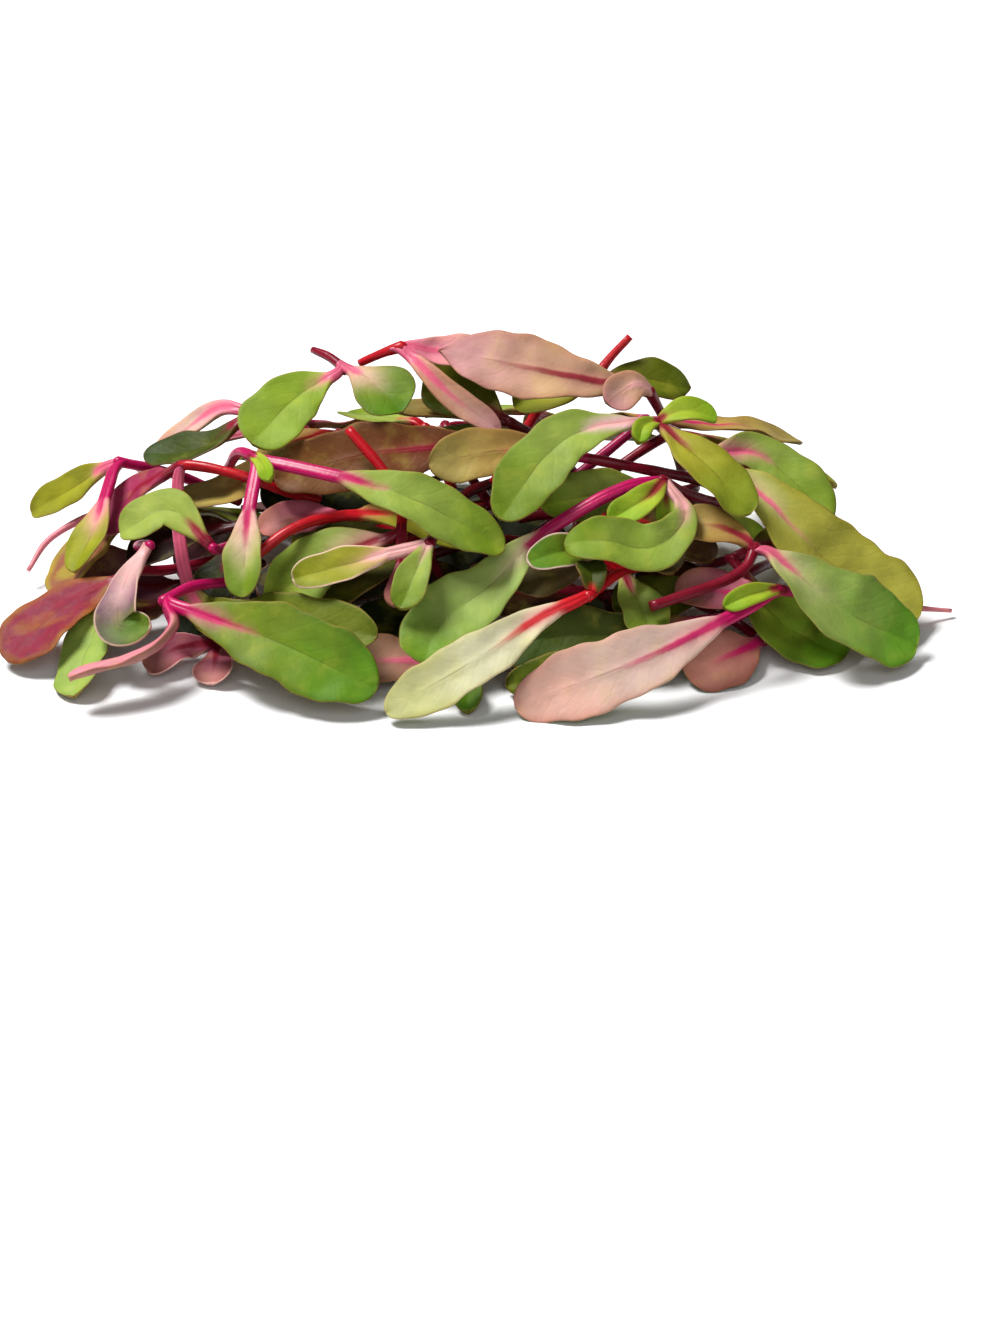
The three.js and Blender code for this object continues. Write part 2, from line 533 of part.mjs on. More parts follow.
// Lays one seedling among those that lie already: its fork's lift is the cheapest for all its arms.
function lay(arms) {
  const plans = arms.map(planArm);
  let [best, fork] = [Infinity, 0];
  for (let lift = -LIFT_STEPS; lift <= LIFT_STEPS; lift += 1) {
    const ways = plans.map((plan) => plan[0].costs[stateOf(lift, firstSlope(plan, lift))]);
    const cost = ways.reduce((sum, way) => sum + way, liftCost(lift * LIFT_STEP));
    if (cost < best) [best, fork] = [cost, lift];
  }
  arms.forEach((arm, i) => {
    let lift = fork;
    let slope = firstSlope(plans[i], fork);
    arm.lifts = [lift * LIFT_STEP];
    for (const { onward } of plans[i]) {
      const turn = onward[stateOf(lift, slope)];
      lift += slope;
      slope = turn;
      arm.lifts.push(lift * LIFT_STEP);
    }
  });
  return best;
}

// Counts a seedling's surface points in the cells near them, or takes them off the count
function takeSpace(arms, count) {
  const reach = Math.ceil(KEPT_CLEAR / CELL);
  const reachSquared = (KEPT_CLEAR / CELL) ** 2;
  for (const arm of arms) {
    arm.points.forEach((points, ring) => {
      const [low, high] = [arm.lifts[ring], arm.lifts[ring + 1]];
      for (let i = 0; i < points.length; i += VALUES) {
        const z = points[i + 2] + low + (high - low) * points[i + 3];
        const column = (points[i] + SPACE_X) / CELL;
        const row = (points[i + 1] + SPACE_Y) / CELL;
        const level = (z - SPACE_LOW) / CELL;
        for (let dx = -reach; dx <= reach; dx += 1) {
          const awayX = Math.floor(column) + dx + 0.5 - column;
          for (let dy = -reach; dy <= reach; dy += 1) {
            const awayY = Math.floor(row) + dy + 0.5 - row;
            for (let dz = -reach; dz <= reach; dz += 1) {
              const awayZ = Math.floor(level) + dz + 0.5 - level;
              if (awayX * awayX + awayY * awayY + awayZ * awayZ < reachSquared) {
                taken[points[i + 4] + (dy * cellsX + dx) * cellsZ + Math.floor(level) + dz] += count;
              }
            }
          }
        }
      }
    });
  }
}

// Lets a seedling down until it rests on something
function settle(arms) {
  takeSpace(arms, -1);
  const touches = (drop) => arms.some((arm) => arm.points.some((points, ring) => (
    crowding(points, arm.lifts[ring] - drop, arm.lifts[ring + 1] - drop) > 0)));
  let steps = 0;
  while (steps < SETTLE_STEPS && !touches((steps + 1) * SETTLE_STEP)) steps += 1;
  for (const arm of arms) arm.lifts = arm.lifts.map((lift) => lift - steps * SETTLE_STEP);
  takeSpace(arms, 1);
}

const wasm = await Module();
wasm.setup();

function solidFrom(geometry) {
  geometry.deleteAttribute('normal');
  geometry.deleteAttribute('uv');
  const merged = mergeVertices(geometry);
  return new wasm.Manifold(new wasm.Mesh({
    numProp: 3,
    vertProperties: merged.attributes.position.array,
    triVerts: new Uint32Array(merged.index.array),
  }));
}

function armSolid(arm) {
  const geometry = new THREE.BufferGeometry().setFromPoints(arm.rings.flat());
  geometry.setIndex(arm.triangles.flat());
  return solidFrom(geometry);
}

function geometryFrom(solid) {
  const { vertProperties, triVerts } = solid.getMesh();
  const geometry = new THREE.BufferGeometry();
  geometry.setAttribute('position', new THREE.BufferAttribute(new Float32Array(vertProperties), 3));
  geometry.setIndex(new THREE.BufferAttribute(new Uint32Array(triVerts), 1));
  return geometry.toNonIndexed();
}

// What is pressed below the surface is cut off flat, so that the lowest leaves rest on real faces.
const FLOOR_DEPTH = 5;
const floorBox = new THREE.BoxGeometry(2 * SPACE_X, 2 * SPACE_Y, FLOOR_DEPTH);
floorBox.translate(0, 0, -FLOOR_DEPTH / 2);
const floor = solidFrom(floorBox);

function seedlingMesh({ name, tone }, arms) {
  let solid = armSolid(arms[0]);
  for (const arm of arms.slice(1)) solid = solid.add(armSolid(arm));
  const lowest = Math.min(...arms.flatMap((arm) => arm.rings.flat().map((point) => point.z)));
  if (lowest < 0) solid = solid.subtract(floor);
  const material = new THREE.MeshStandardMaterial({ color: TONES[tone], roughness: 0.6, metalness: 0 });
  const mesh = new THREE.Mesh(geometryFrom(solid), material);
  mesh.name = name;
  return mesh;
}

// Each seedling is laid below or among those before it, the ones that show first. Then all settle,
// from the lowest up.
function armsOf(row) {
  const arms = [stemArm(row.fork, row.stem), ...row.leaves.map((blade) => bladeArm(row.fork, blade))];
  for (const arm of arms) {
    arm.triangles = armTriangles(arm);
    arm.points = surfacePoints(arm);
  }
  return arms;
}

const offered = SHOWN.map((row) => [row]);
for (let number = 0; number < BACK_COUNT; number += 1) offered.push(backOffers(number));
for (let number = 0; number < BED_COUNT; number += 1) offered.push(bedOffers(number));
const laid = offered.map((offers) => {
  const tries = offers.map((row) => {
    const arms = armsOf(row);
    return { row, arms, cost: lay(arms) };
  });
  const best = tries.reduce((a, b) => (b.cost < a.cost ? b : a));
  takeSpace(best.arms, 1);
  return best;
});
for (const { arms } of [...laid].sort((a, b) => a.row.fork[2] - b.row.fork[2])) settle(arms);

const heap = new THREE.Group();
const extent = new THREE.Box3();
for (const { row, arms } of laid) {
  for (const arm of arms) {
    arm.rings.forEach((points, ring) => {
      for (const point of points) {
        extent.expandByPoint(point);
        point.z += arm.lifts[ring];
      }
    });
  }
  heap.add(seedlingMesh(row, arms));
}

// The heap's middle stands over the origin.
const middle = extent.getCenter(new THREE.Vector3());
heap.position.set(-middle.x, -middle.y, 0);

export default heap;
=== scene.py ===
import math

import bpy
import numpy as np
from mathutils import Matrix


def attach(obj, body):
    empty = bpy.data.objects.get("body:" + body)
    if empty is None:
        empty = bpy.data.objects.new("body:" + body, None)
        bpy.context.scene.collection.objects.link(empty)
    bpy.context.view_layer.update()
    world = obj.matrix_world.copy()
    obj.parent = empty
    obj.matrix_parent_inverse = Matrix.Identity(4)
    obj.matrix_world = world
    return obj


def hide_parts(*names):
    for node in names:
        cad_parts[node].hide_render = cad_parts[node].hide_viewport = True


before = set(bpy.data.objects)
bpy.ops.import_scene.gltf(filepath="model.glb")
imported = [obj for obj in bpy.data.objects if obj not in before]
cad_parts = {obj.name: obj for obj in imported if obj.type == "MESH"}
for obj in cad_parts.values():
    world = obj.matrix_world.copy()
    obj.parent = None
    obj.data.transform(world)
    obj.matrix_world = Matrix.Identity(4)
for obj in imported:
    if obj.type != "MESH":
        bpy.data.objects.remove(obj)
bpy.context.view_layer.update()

# --- The view
# The heap is seen from the front and from 28 degrees above, by a long lens, so that the leaves at
# the back are hardly smaller than those in front. It lies a little above the picture's middle.
MM = 0.001
IMAGE_HEIGHT = 1320
FOCAL_PIXELS = 3850
SENSOR = 36
VIEW_ELEVATION = math.radians(28)
VIEW_DISTANCE = 450 * MM
AIM = (-0.21 * MM, 6.72 * MM, 0)
AIM_LEFT_OF_MIDDLE = 17
AIM_ABOVE_MIDDLE = 90

eye = (
    AIM[0],
    AIM[1] - VIEW_DISTANCE * math.cos(VIEW_ELEVATION),
    VIEW_DISTANCE * math.sin(VIEW_ELEVATION),
)
bpy.ops.object.camera_add(location=eye, rotation=(math.pi / 2 - VIEW_ELEVATION, 0, 0))
camera = bpy.context.object
camera.name = "view"
camera.data.sensor_width = SENSOR
camera.data.lens = SENSOR * FOCAL_PIXELS / IMAGE_HEIGHT
camera.data.shift_x = AIM_LEFT_OF_MIDDLE / IMAGE_HEIGHT
camera.data.shift_y = -AIM_ABOVE_MIDDLE / IMAGE_HEIGHT
camera.data.clip_start = 10 * MM
bpy.context.scene.camera = camera

# --- The table and the light
# A plain white table that reaches out of the picture, a soft lamp above the heap's left and a little
# behind it, a weaker and wider one in front, and an even white sky.
TABLE_SIZE = 3
TABLE_WHITE = (0.86, 0.86, 0.86, 1)
SKY_STRENGTH = 0.13


def add_lamp(name, place, size, power):
    bpy.ops.object.light_add(type="AREA", location=place)
    lamp = bpy.context.object
    lamp.name = name
    lamp.data.size = size
    lamp.data.energy = power
    away = np.array(place) / np.linalg.norm(place)
    lamp.rotation_euler = (math.acos(away[2]), 0, math.atan2(away[0], -away[1]))


bpy.ops.mesh.primitive_plane_add(size=TABLE_SIZE)
table = bpy.context.object
table.name = "table"
table_paint = bpy.data.materials.new("table_white")
table_paint.use_nodes = True
table_shader = table_paint.node_tree.nodes["Principled BSDF"]
table_shader.inputs["Base Color"].default_value = TABLE_WHITE
table_shader.inputs["Roughness"].default_value = 0.9
table_shader.inputs["Specular IOR Level"].default_value = 0.1
table.data.materials.append(table_paint)

add_lamp("key_lamp", (-0.3, 0.1, 0.62), 0.24, 8)
add_lamp("front_lamp", (0.05, -0.62, 0.5), 0.6, 1.7)
sky = bpy.data.worlds.new("sky")
sky.use_nodes = True
sky.node_tree.nodes["Background"].inputs["Color"].default_value = (1, 1, 1, 1)
sky.node_tree.nodes["Background"].inputs["Strength"].default_value = SKY_STRENGTH
bpy.context.scene.world = sky
bpy.context.scene.view_settings.view_transform = "Standard"

# --- The seedlings at the top of the heap
# Cut chard seedlings: a thin red stem that forks into two long seed leaves. Their upper faces are
# a dusty green and their undersides cream, blush or brown, with the stalk's red running up the rib.


def linear(code):
    """A colour written as six hexadecimal digits, for a shader."""
    parts = [int(code[i : i + 2], 16) / 255 for i in (0, 2, 4)]
    return [p / 12.92 if p < 0.04045 else ((p + 0.055) / 1.055) ** 2.4 for p in parts]


class Field:
    """A number or a colour that changes over the surface."""

    def __init__(self, finish, socket, wide=False):
        self.finish, self.socket, self.wide = finish, socket, wide

    def joined(self, operation, first, second):
        wide = any(isinstance(f, Field) and f.wide for f in (first, second))
        kind = "ShaderNodeVectorMath" if wide else "ShaderNodeMath"
        return self.finish.node(kind, {"operation": operation}, {0: first, 1: second}, wide=wide)

    def __add__(self, other):
        return self.joined("ADD", self, other)

    __radd__ = __add__

    def __sub__(self, other):
        return self.joined("SUBTRACT", self, other)

    def __rsub__(self, other):
        return self.joined("SUBTRACT", other, self)

    def __mul__(self, other):
        return self.joined("MULTIPLY", self, other)

    __rmul__ = __mul__

    def __truediv__(self, other):
        return self.joined("DIVIDE", self, other)

    def above(self, low, high):
        """Rises softly from 0 at low to 1 at high."""
        settings = {"interpolation_type": "SMOOTHSTEP"}
        inputs = {"Value": self, "From Min": low, "From Max": high}
        return self.finish.node("ShaderNodeMapRange", settings, inputs)

    def below(self, low, high):
        """Falls softly from 1 at low to 0 at high."""
        return 1 - self.above(low, high)

    def size(self):
        return self.finish.node("ShaderNodeMath", {"operation": "ABSOLUTE"}, {0: self})

    def sine(self):
        return self.finish.node("ShaderNodeMath", {"operation": "SINE"}, {0: self})

    def parts(self):
        node = self.finish.tree.nodes.new("ShaderNodeSeparateXYZ")
        self.finish.tree.links.new(self.socket, node.inputs[0])
        return [Field(self.finish, out) for out in node.outputs]


class Finish:
    """A material in the making. Its shader is the one that every new material has."""

    def __init__(self, name):
        self.material = bpy.data.materials.new(name)
        self.material.use_nodes = True
        self.tree = self.material.node_tree
        self.shader = self.tree.nodes["Principled BSDF"]

    def node(self, kind, settings=(), inputs=(), output=0, wide=False):
        node = self.tree.nodes.new(kind)
        for key, value in dict(settings).items():
            setattr(node, key, value)
        for key, value in dict(inputs).items():
            if isinstance(value, Field):
                self.tree.links.new(value.socket, node.inputs[key])
            elif node.inputs[key].type == "VECTOR" and isinstance(value, (int, float)):
                node.inputs[key].default_value = (value, value, value)
            else:
                node.inputs[key].default_value = value
        return Field(self, node.outputs[output], wide)

    def stored(self, name):
        """What each point of the mesh keeps under a name."""
        settings = {"attribute_name": name, "attribute_type": "GEOMETRY"}
        return self.node("ShaderNodeAttribute", settings, output="Vector", wide=True)

    def blend(self, share, first, second):
        """The first colour where the share is 0 and the second where it is 1."""
        settings = {"data_type": "RGBA", "clamp_factor": True}
        first, second = [c if isinstance(c, Field) else (*c, 1) for c in (first, second)]
        return self.node("ShaderNodeMix", settings, {0: share, 6: first, 7: second}, 2, True)

    def noise(self, scale, detail, place):
        inputs = {"Scale": scale, "Detail": detail, "Vector": place}
        return self.node("ShaderNodeTexNoise", (), inputs)

    def feed(self, name, field):
        self.tree.links.new(field.socket, self.shader.inputs[name])


# The skin of a seedling. Every point of the mesh keeps where it lies: its share of the blade's
# length, how far it is across and whether it is on the face that shows, and the same in
# millimetres, with the way to the outline. It keeps its leaf's colours too.
skin = Finish("chard_skin")
place = skin.node("ShaderNodeTexCoord", output="Object", wide=True)
along, across, outer = skin.stored("leaf_place").parts()
across_mm, along_mm, rim_mm = skin.stored("leaf_size").parts()
reach, spread, blotches = skin.stored("leaf_marks").parts()
rim_share = skin.stored("leaf_rim").parts()[0]
stalk_colour = skin.stored("stalk_colour")
clouds = skin.noise(190, 2, place)
patches = skin.noise(330, 3, place)
mottle = skin.noise(900, 3, place)
grain = skin.noise(2600, 3, place)

# The blade: a paler middle, a deeper tip, and soft clouds of a deeper and of a yellower green
near_tip = (along + (clouds - 0.5) * 0.5).above(0.35, 0.95)
upper = skin.blend(near_tip, skin.stored("outer_colour"), skin.stored("tip_colour"))
blade = skin.blend(outer.above(0.3, 0.7), skin.stored("inner_colour"), upper)
blade = blade * (0.4 + clouds * 0.52 + patches * 0.34 + mottle * 0.14)
blade = skin.blend(patches.above(0.5, 0.72) * 0.2, blade, linear("a8a03c"))

# The flush at its base, and the blotches that some leaves have
flushed = ((along + across.size() * 0.25 + (patches - 0.5) * 0.25) / spread).below(0.2, 1.0)
blade = skin.blend(flushed * 0.85, blade, skin.stored("flush_colour") * (0.8 + mottle * 0.4))
blotch = (patches * 0.6 + clouds * 0.5).above(0.43, 0.57) * blotches * rim_mm.above(0.2, 1.3)
blade = skin.blend(blotch * 0.9, blade, skin.blend(mottle, linear("8c1030"), linear("5c1238")))

# The rib: the stalk's red runs up it and bleeds a little to both sides, and a thin dark line
# follows it to the tip
rib_width = 0.62 - along * 0.42
rib = (across_mm.size() / rib_width + (mottle - 0.5) * 0.5).below(0.35, 1.15)
rib = rib * ((along + (patches - 0.5) * 0.2) / reach).below(0.35, 1.0)
bleed_end = ((along + (patches - 0.5) * 0.3) / reach).below(0.1, 0.9)
bleed = (across_mm.size() / 1.9).below(0.0, 1.0) * bleed_end
line = (across_mm.size() / 0.18).below(0.1, 1.0) * along.below(0.6, 0.92) * patches.above(0.35, 0.6)
blade = skin.blend(bleed * 0.35, blade, stalk_colour)
blade = skin.blend(line * 0.4, blade, blade * skin.blend(0.7, linear("ffffff"), linear("7a4450")))
colour = skin.blend(rib * 0.92, blade, stalk_colour)

# The outline: a deeper green just inside, and a thin edge, dry in places
inside = rim_mm.below(0.2, 1.3) * along.above(0.05, 0.3)
colour = skin.blend(inside * 0.3, colour, colour * colour * 1.8)
edge = rim_mm.below(0.05, 0.3) * along.above(0.02, 0.12)
colour = skin.blend(edge * rim_share, colour, skin.stored("rim_colour"))

stalk = along.below(-0.03, 0.05)
streaks = (across * 9 + clouds * 6).sine() * 0.1
colour = skin.blend(stalk, colour, stalk_colour * (0.5 + patches * 0.7 + streaks))
skin.feed("Base Color", colour)
skin.feed("Roughness", 0.52 + (grain - 0.5) * 0.2 + patches * 0.1 - stalk * 0.2)
skin.feed("Coat Weight", stalk * 0.22)
veins = (along_mm * 2.6 - across_mm.size() * 3.2 + patches * 9).sine().above(0.6, 1.0)
height = grain * 0.3 + mottle * 0.9 + patches * 1.5 - veins * 0.15 - line * 0.4
bump = skin.node("ShaderNodeBump", (), {"Strength": 0.3, "Distance": 0.00025, "Height": height})
skin.feed("Normal", bump)
skin.shader.inputs["Specular IOR Level"].default_value = 0.15
skin.shader.inputs["Coat Roughness"].default_value = 0.25
skin.shader.inputs["Subsurface Weight"].default_value = 0.1
skin.shader.inputs["Subsurface Radius"].default_value = (1, 0.6, 0.3)
skin.shader.inputs["Subsurface Scale"].default_value = 0.0007

# A leaf's look: the middle and the tip of the face that shows, the other face, and the flush
FACES = {
    "green": ("6a7e1e", "568012", "827c34", "a87c70"),
    "dusty": ("899c42", "6c841a", "969250", "be8c80"),
    "fresh": ("949228", "82880e", "928c34", "b89468"),
    "olive": ("5e6408", "526004", "6c661a", "86603a"),
    "dark": ("3c4606", "34460a", "483e12", "54301a"),
    "lime": ("98ac2c", "82a41a", "6a8c16", "a89a3c"),
    "cream": ("ccc8a4", "b8b87c", "80923a", "e0a0a2"),
    "beige": ("bf9578", "bd8a88", "788236", "cc9684"),
    "blush": ("ceb0a2", "cb9c8c", "849038", "d0948e"),
    "brown": ("643616", "6c4218", "666a20", "64241a"),
    "tan": ("a08040", "948444", "7c7430", "9c6252"),
    "rose": ("a8586a", "ac7068", "a87870", "a44460"),
    "mottled": ("96502a", "8a4828", "7c7430", "787636"),
    "purple": ("a87c7c", "582450", "4a640a", "c09098"),
    # This face is painted shade: a near-black crimson-brown for leaves in the heap's shaded depths
    "painted_deep_shade": ("4a1c16", "3c2210", "40140e", "40100e"),
}
STALKS = {
    "magenta": "b20e54",
    "crimson": "7e0a24",
    "red": "b8121e",
    "pink": "cc5874",
    "dark": "560810",
    "pale": "d89c98",
}

# The heap as it was laid, whose middle then came to stand over the origin
HEAP_HALF_LENGTH = 60
HEAP_FRONT = 41
HEAP_BACK = 27
HEAP_HEIGHT = 27
HEAP_RIDGE_Y = -1
HEAP_LEAN = 0.9
FRONT_LEAN = 0.3
HEAP_SHIFT = np.array([-0.2128, 6.7222, 0])

# A seedling as it was laid: its solid's sizes, and the shares of a leaf where that has rings
STEM_RADIUS = 0.65
PETIOLE_HALF_WIDTH = 0.8
PETIOLE_THICKNESS = 1.2
BLADE_THICKNESS = 0.65
WIDEST = 0.62
TIP_SHARE = 0.25
STATION_STEP = 4
BLADE_STATIONS = (0.15, 0.35, 0.55, 0.75, 0.91, 1)
PLAIN_STATIONS = (0.3, 0.6, 0.85, 1)
CURVE_STEPS = 200
GOLDEN = 0.618034


def even_step(index, rate):
    return (index + 1) * rate % 1


def scaled(vectors):
    """The vectors at length 1."""
    return vectors / np.linalg.norm(vectors, axis=-1, keepdims=True)


def dotted(a, b):
    return np.sum(a * b, axis=-1, keepdims=True)


class Curve:
    """A smooth curve through points, read by its share of the length."""

    def __init__(self, points):
        knots = np.array(points, float)
        self.knots = np.vstack([2 * knots[0] - knots[1], knots, 2 * knots[-1] - knots[-2]])
        self.times = np.linspace(0, 1, CURVE_STEPS + 1)
        steps = np.linalg.norm(np.diff(self.at(self.times)[0], axis=0), axis=1)
        self.run = np.concatenate([[0], np.cumsum(steps)])
        self.length = self.run[-1]

    def at(self, times):
        spans = len(self.knots) - 3
        first = np.minimum((times * spans).astype(int), spans - 1)
        w = (times * spans - first)[:, None]
        a, b, c, d = (self.knots[first + i] for i in range(4))
        start, end = (c - a) / 2, (d - b) / 2
        square = 3 * (c - b) - 2 * start - end
        cube = 2 * (b - c) + start + end
        return b + w * (start + w * (square + w * cube)), start + w * (2 * square + 3 * w * cube)

    def read(self, shares):
        points, slopes = self.at(np.interp(shares * self.length, self.run, self.times))
        return points, scaled(slopes)


def leaf_facing(points, lean):
    """The way that a leaf faces: with the heap's side, and leaning to the front."""
    x, y = points[:, 0], points[:, 1]
    depth = np.where(y < HEAP_RIDGE_Y, HEAP_FRONT, HEAP_BACK)
    ahead = HEAP_LEAN * (y - HEAP_RIDGE_Y) / depth - lean
    return scaled(np.stack([HEAP_LEAN * x / HEAP_HALF_LENGTH, ahead, np.ones(len(x))], axis=1))


class Blade:
    """A leaf from the fork through its points: its curve and, at any share of it, its frame."""

    def __init__(self, fork, leaf):
        self.leaf = leaf
        self.curve = Curve([fork, *leaf["points"]])
        petiole = leaf["petiole"]
        steps = max(1, math.floor(petiole * self.curve.length / STATION_STEP + 0.5))
        past = PLAIN_STATIONS if leaf["plain"] else BLADE_STATIONS
        stations = [petiole * i / steps for i in range(steps + 1)]
        self.stations = np.array(stations + [petiole + u * (1 - petiole) for u in past])

    def frame(self, shares):
        middles, ahead = self.curve.read(shares)
        facing = leaf_facing(middles, self.leaf["lean"])
        if self.leaf["level"]:
            facing = np.tile([0.0, 0.0, 1.0], (len(shares), 1))
        facing = scaled(facing - ahead * dotted(facing, ahead))
        low, high = np.radians(self.leaf["turn"])
        turn = (low + (high - low) * shares)[:, None]
        facing = facing * np.cos(turn) + np.cross(ahead, facing) * np.sin(turn)
        return middles, np.cross(ahead, facing), facing

    def half_width(self, shares, tip):
        petiole, half = self.leaf["petiole"], self.leaf["width"] / 2
        along = np.clip((shares - petiole) / (1 - petiole), 0, 1)
        rise = np.sin(math.pi / 2 * np.minimum(along / WIDEST, 1))
        past = np.clip((along - WIDEST) / (1 - WIDEST), 0, 1)
        rounded = half * np.maximum((1 - past**2.3) ** (0.45 + self.leaf["point"]), tip)
        return np.where(along < WIDEST, PETIOLE_HALF_WIDTH + (half - PETIOLE_HALF_WIDTH) * rise, rounded)

    def thinning(self, half):
        return np.clip((half - PETIOLE_HALF_WIDTH) / 1.2, 0, 1)

    def rings(self):
        """The ring points of the solid leaf, before they are lifted."""
        middles, side, facing = self.frame(self.stations)
        half = self.half_width(self.stations, TIP_SHARE)
        thick = PETIOLE_THICKNESS + (BLADE_THICKNESS - PETIOLE_THICKNESS) * self.thinning(half)
        edge = np.minimum(thick, BLADE_THICKNESS) / 2
        rise = self.leaf["cup"] * half / (self.leaf["width"] / 2)
        corners = [(-half, rise - edge), (0 * half, -thick / 2), (half, rise - edge)]
        corners += [(half, rise + edge), (0 * half, thick / 2), (-half, rise + edge)]
        return [middles + side * a[:, None] + facing * u[:, None] for a, u in corners]


class Stem:
    """A stem from the fork to its cut end."""

    SIDES = 5

    def __init__(self, fork, points):
        self.curve = Curve([fork, *points])
        steps = max(2, math.floor(self.curve.length / STATION_STEP + 0.5))
        self.stations = np.linspace(0, 1, steps + 1)
        self.level = scaled(np.array([points[-1][1] - fork[1], fork[0] - points[-1][0], 0.0]))

    def frame(self, shares):
        middles, ahead = self.curve.read(shares)
        side = scaled(self.level - ahead * dotted(self.level, ahead))
        return middles, side, np.cross(side, ahead)

    def rings(self):
        middles, side, facing = self.frame(self.stations)
        turns = [2 * math.pi * i / self.SIDES for i in range(self.SIDES)]
        return [middles + STEM_RADIUS * (side * math.cos(t) + facing * math.sin(t)) for t in turns]


# The lifts are whole steps, and a ring point fits a corner that stands this near above or below it
LIFT_GRID = 0.05
MATCH = 0.04


def lifts_of(arms, corners):
    """How far each ring of each arm was lifted when the heap was laid, read from the node's
    corners, which stand straight above or below where the ring points began. Also how many fit."""
    found, fitting = [], 0
    votes_at_fork = []
    for arm in arms:
        rings = np.stack(arm.rings(), axis=1)
        lifts = []
        for number, ring in enumerate(rings):
            away = np.linalg.norm(corners[None, :, :2] - ring[:, None, :2], axis=2)
            point, corner = np.nonzero(away < MATCH)
            votes = np.round((corners[corner, 2] - ring[point, 2]) / LIFT_GRID).astype(int)
            fitting += len(set(point))
            if number == 0:
                votes_at_fork += list(votes)
            kinds, counts = np.unique(votes, return_counts=True)
            lifts.append(kinds[counts.argmax()] * LIFT_GRID if len(kinds) else np.nan)
        found.append(np.array(lifts))
    kinds, counts = np.unique(votes_at_fork, return_counts=True)
    for lifts in found:
        if len(kinds):
            lifts[0] = kinds[counts.argmax()] * LIFT_GRID
    for arm, lifts in zip(arms, found):
        known = ~np.isnan(lifts)
        lifts[:] = np.interp(arm.stations, arm.stations[known], lifts[known]) if known.any() else 0
    return found, fitting


# A seedling as it shows: finer and rounder than its solid, with thinner blades and wavy edges
SOFTENING = 1.2
LEAF_RINGS = 52
STEM_RING_STEP = 0.7
STEM_SIDES = 14
VISIBLE_STEM_RADIUS = 0.6
VISIBLE_BLADE = 0.4
ACROSS = (0, 0.04, 0.1, 0.18, 0.3, 0.45, 0.61, 0.76, 0.88, 0.96, 1)
BEND = 1.3
LONG_WAVE = 8.5
SHORT_WAVE = 3.7
WAVE_SHARE = 0.05
RIPPLE_WAVE = 9.5
RIPPLE_HEIGHT = 0.24
PUCKER_WAVE = 4.6
PUCKER_HEIGHT = 0.1
LOWEST_POINT = 0.02
DRY_EDGE = "8a5c34"
FADED_STEM = "d98a8c"
NODE_DEPTH = 1.3
NODE_REACH = 2.6


def lifted(arm, shares, lifts):
    """The lift at any share, rounded off where its slope changes."""
    reach = SOFTENING / arm.curve.length
    near = [np.interp(shares + reach * k, arm.stations, lifts) for k in (-1, -0.5, 0, 0.5, 1)]
    near[2][0] = lifts[0]
    return sum(near) / len(near)


def above_table(points):
    """The points, with those that would be in the table laid on it."""
    points[:, :, 2] = np.maximum(points[:, :, 2], LOWEST_POINT)
    return points


def rolled_grid(name, points, stored):
    """A mesh from a grid whose long sides meet: a closed skin round a leaf or a stem."""
    rings, sides = points.shape[:2]
    bpy.ops.mesh.primitive_grid_add(x_subdivisions=sides - 1, y_subdivisions=rings - 1, size=1)
    piece = bpy.context.object
    piece.name = name
    mesh = piece.data
    mesh.vertices.foreach_set("co", (points * MM).ravel())
    for key, values in stored.items():
        kind = "FLOAT_COLOR" if key.endswith("colour") else "FLOAT_VECTOR"
        attribute = mesh.attributes.new(key, kind, "POINT")
        values = np.broadcast_to(values, (rings, sides, np.shape(values)[-1]))
        if kind == "FLOAT_COLOR":
            values = np.concatenate([values, np.ones((rings, sides, 1))], axis=2)
            attribute.data.foreach_set("color", np.ascontiguousarray(values).ravel())
        else:
            attribute.data.foreach_set("vector", np.ascontiguousarray(values).ravel())
    mesh.materials.append(skin.material)
    return piece


def out_of_stem(shares, middles, blade, root):
    """A petiole grows out of the stem: its first stretch starts inside the stem, goes its way and
    swings over to its own."""
    run = shares * blade.curve.length
    point, ahead = root
    joined = np.clip(run / NODE_REACH, 0, 1)[:, None]
    last = np.array([NODE_REACH / blade.curve.length])
    target, onward = blade.curve.read(last)
    target[:, 2] += np.interp(NODE_REACH, run, middles[:, 2]) - target[:, 2]
    width = NODE_REACH + NODE_DEPTH * 0.6
    square, cube = joined**2, joined**3
    swung = (2 * cube - 3 * square + 1) * point + (cube - 2 * square + joined) * ahead * width
    swung = swung + (3 * square - 2 * cube) * target + (cube - square) * onward * width
    return np.where(joined < 1, swung, middles)


# The places across a leaf, from edge to edge over the face that shows and back over the other one
TOP = np.array([-a for a in ACROSS[::-1]] + list(ACROSS[1:]))
SECTION = np.concatenate([TOP, TOP[-2:0:-1], TOP[:1]])
SHOWN = np.concatenate([np.ones(len(TOP)), -np.ones(len(TOP) - 2), [1]])
SHOWN[[0, len(TOP) - 1, -1]] = 0


def swing(run, length, phase):
    """A wave along the leaf."""
    return np.sin(run[:, None] * 2 * math.pi / length + phase)


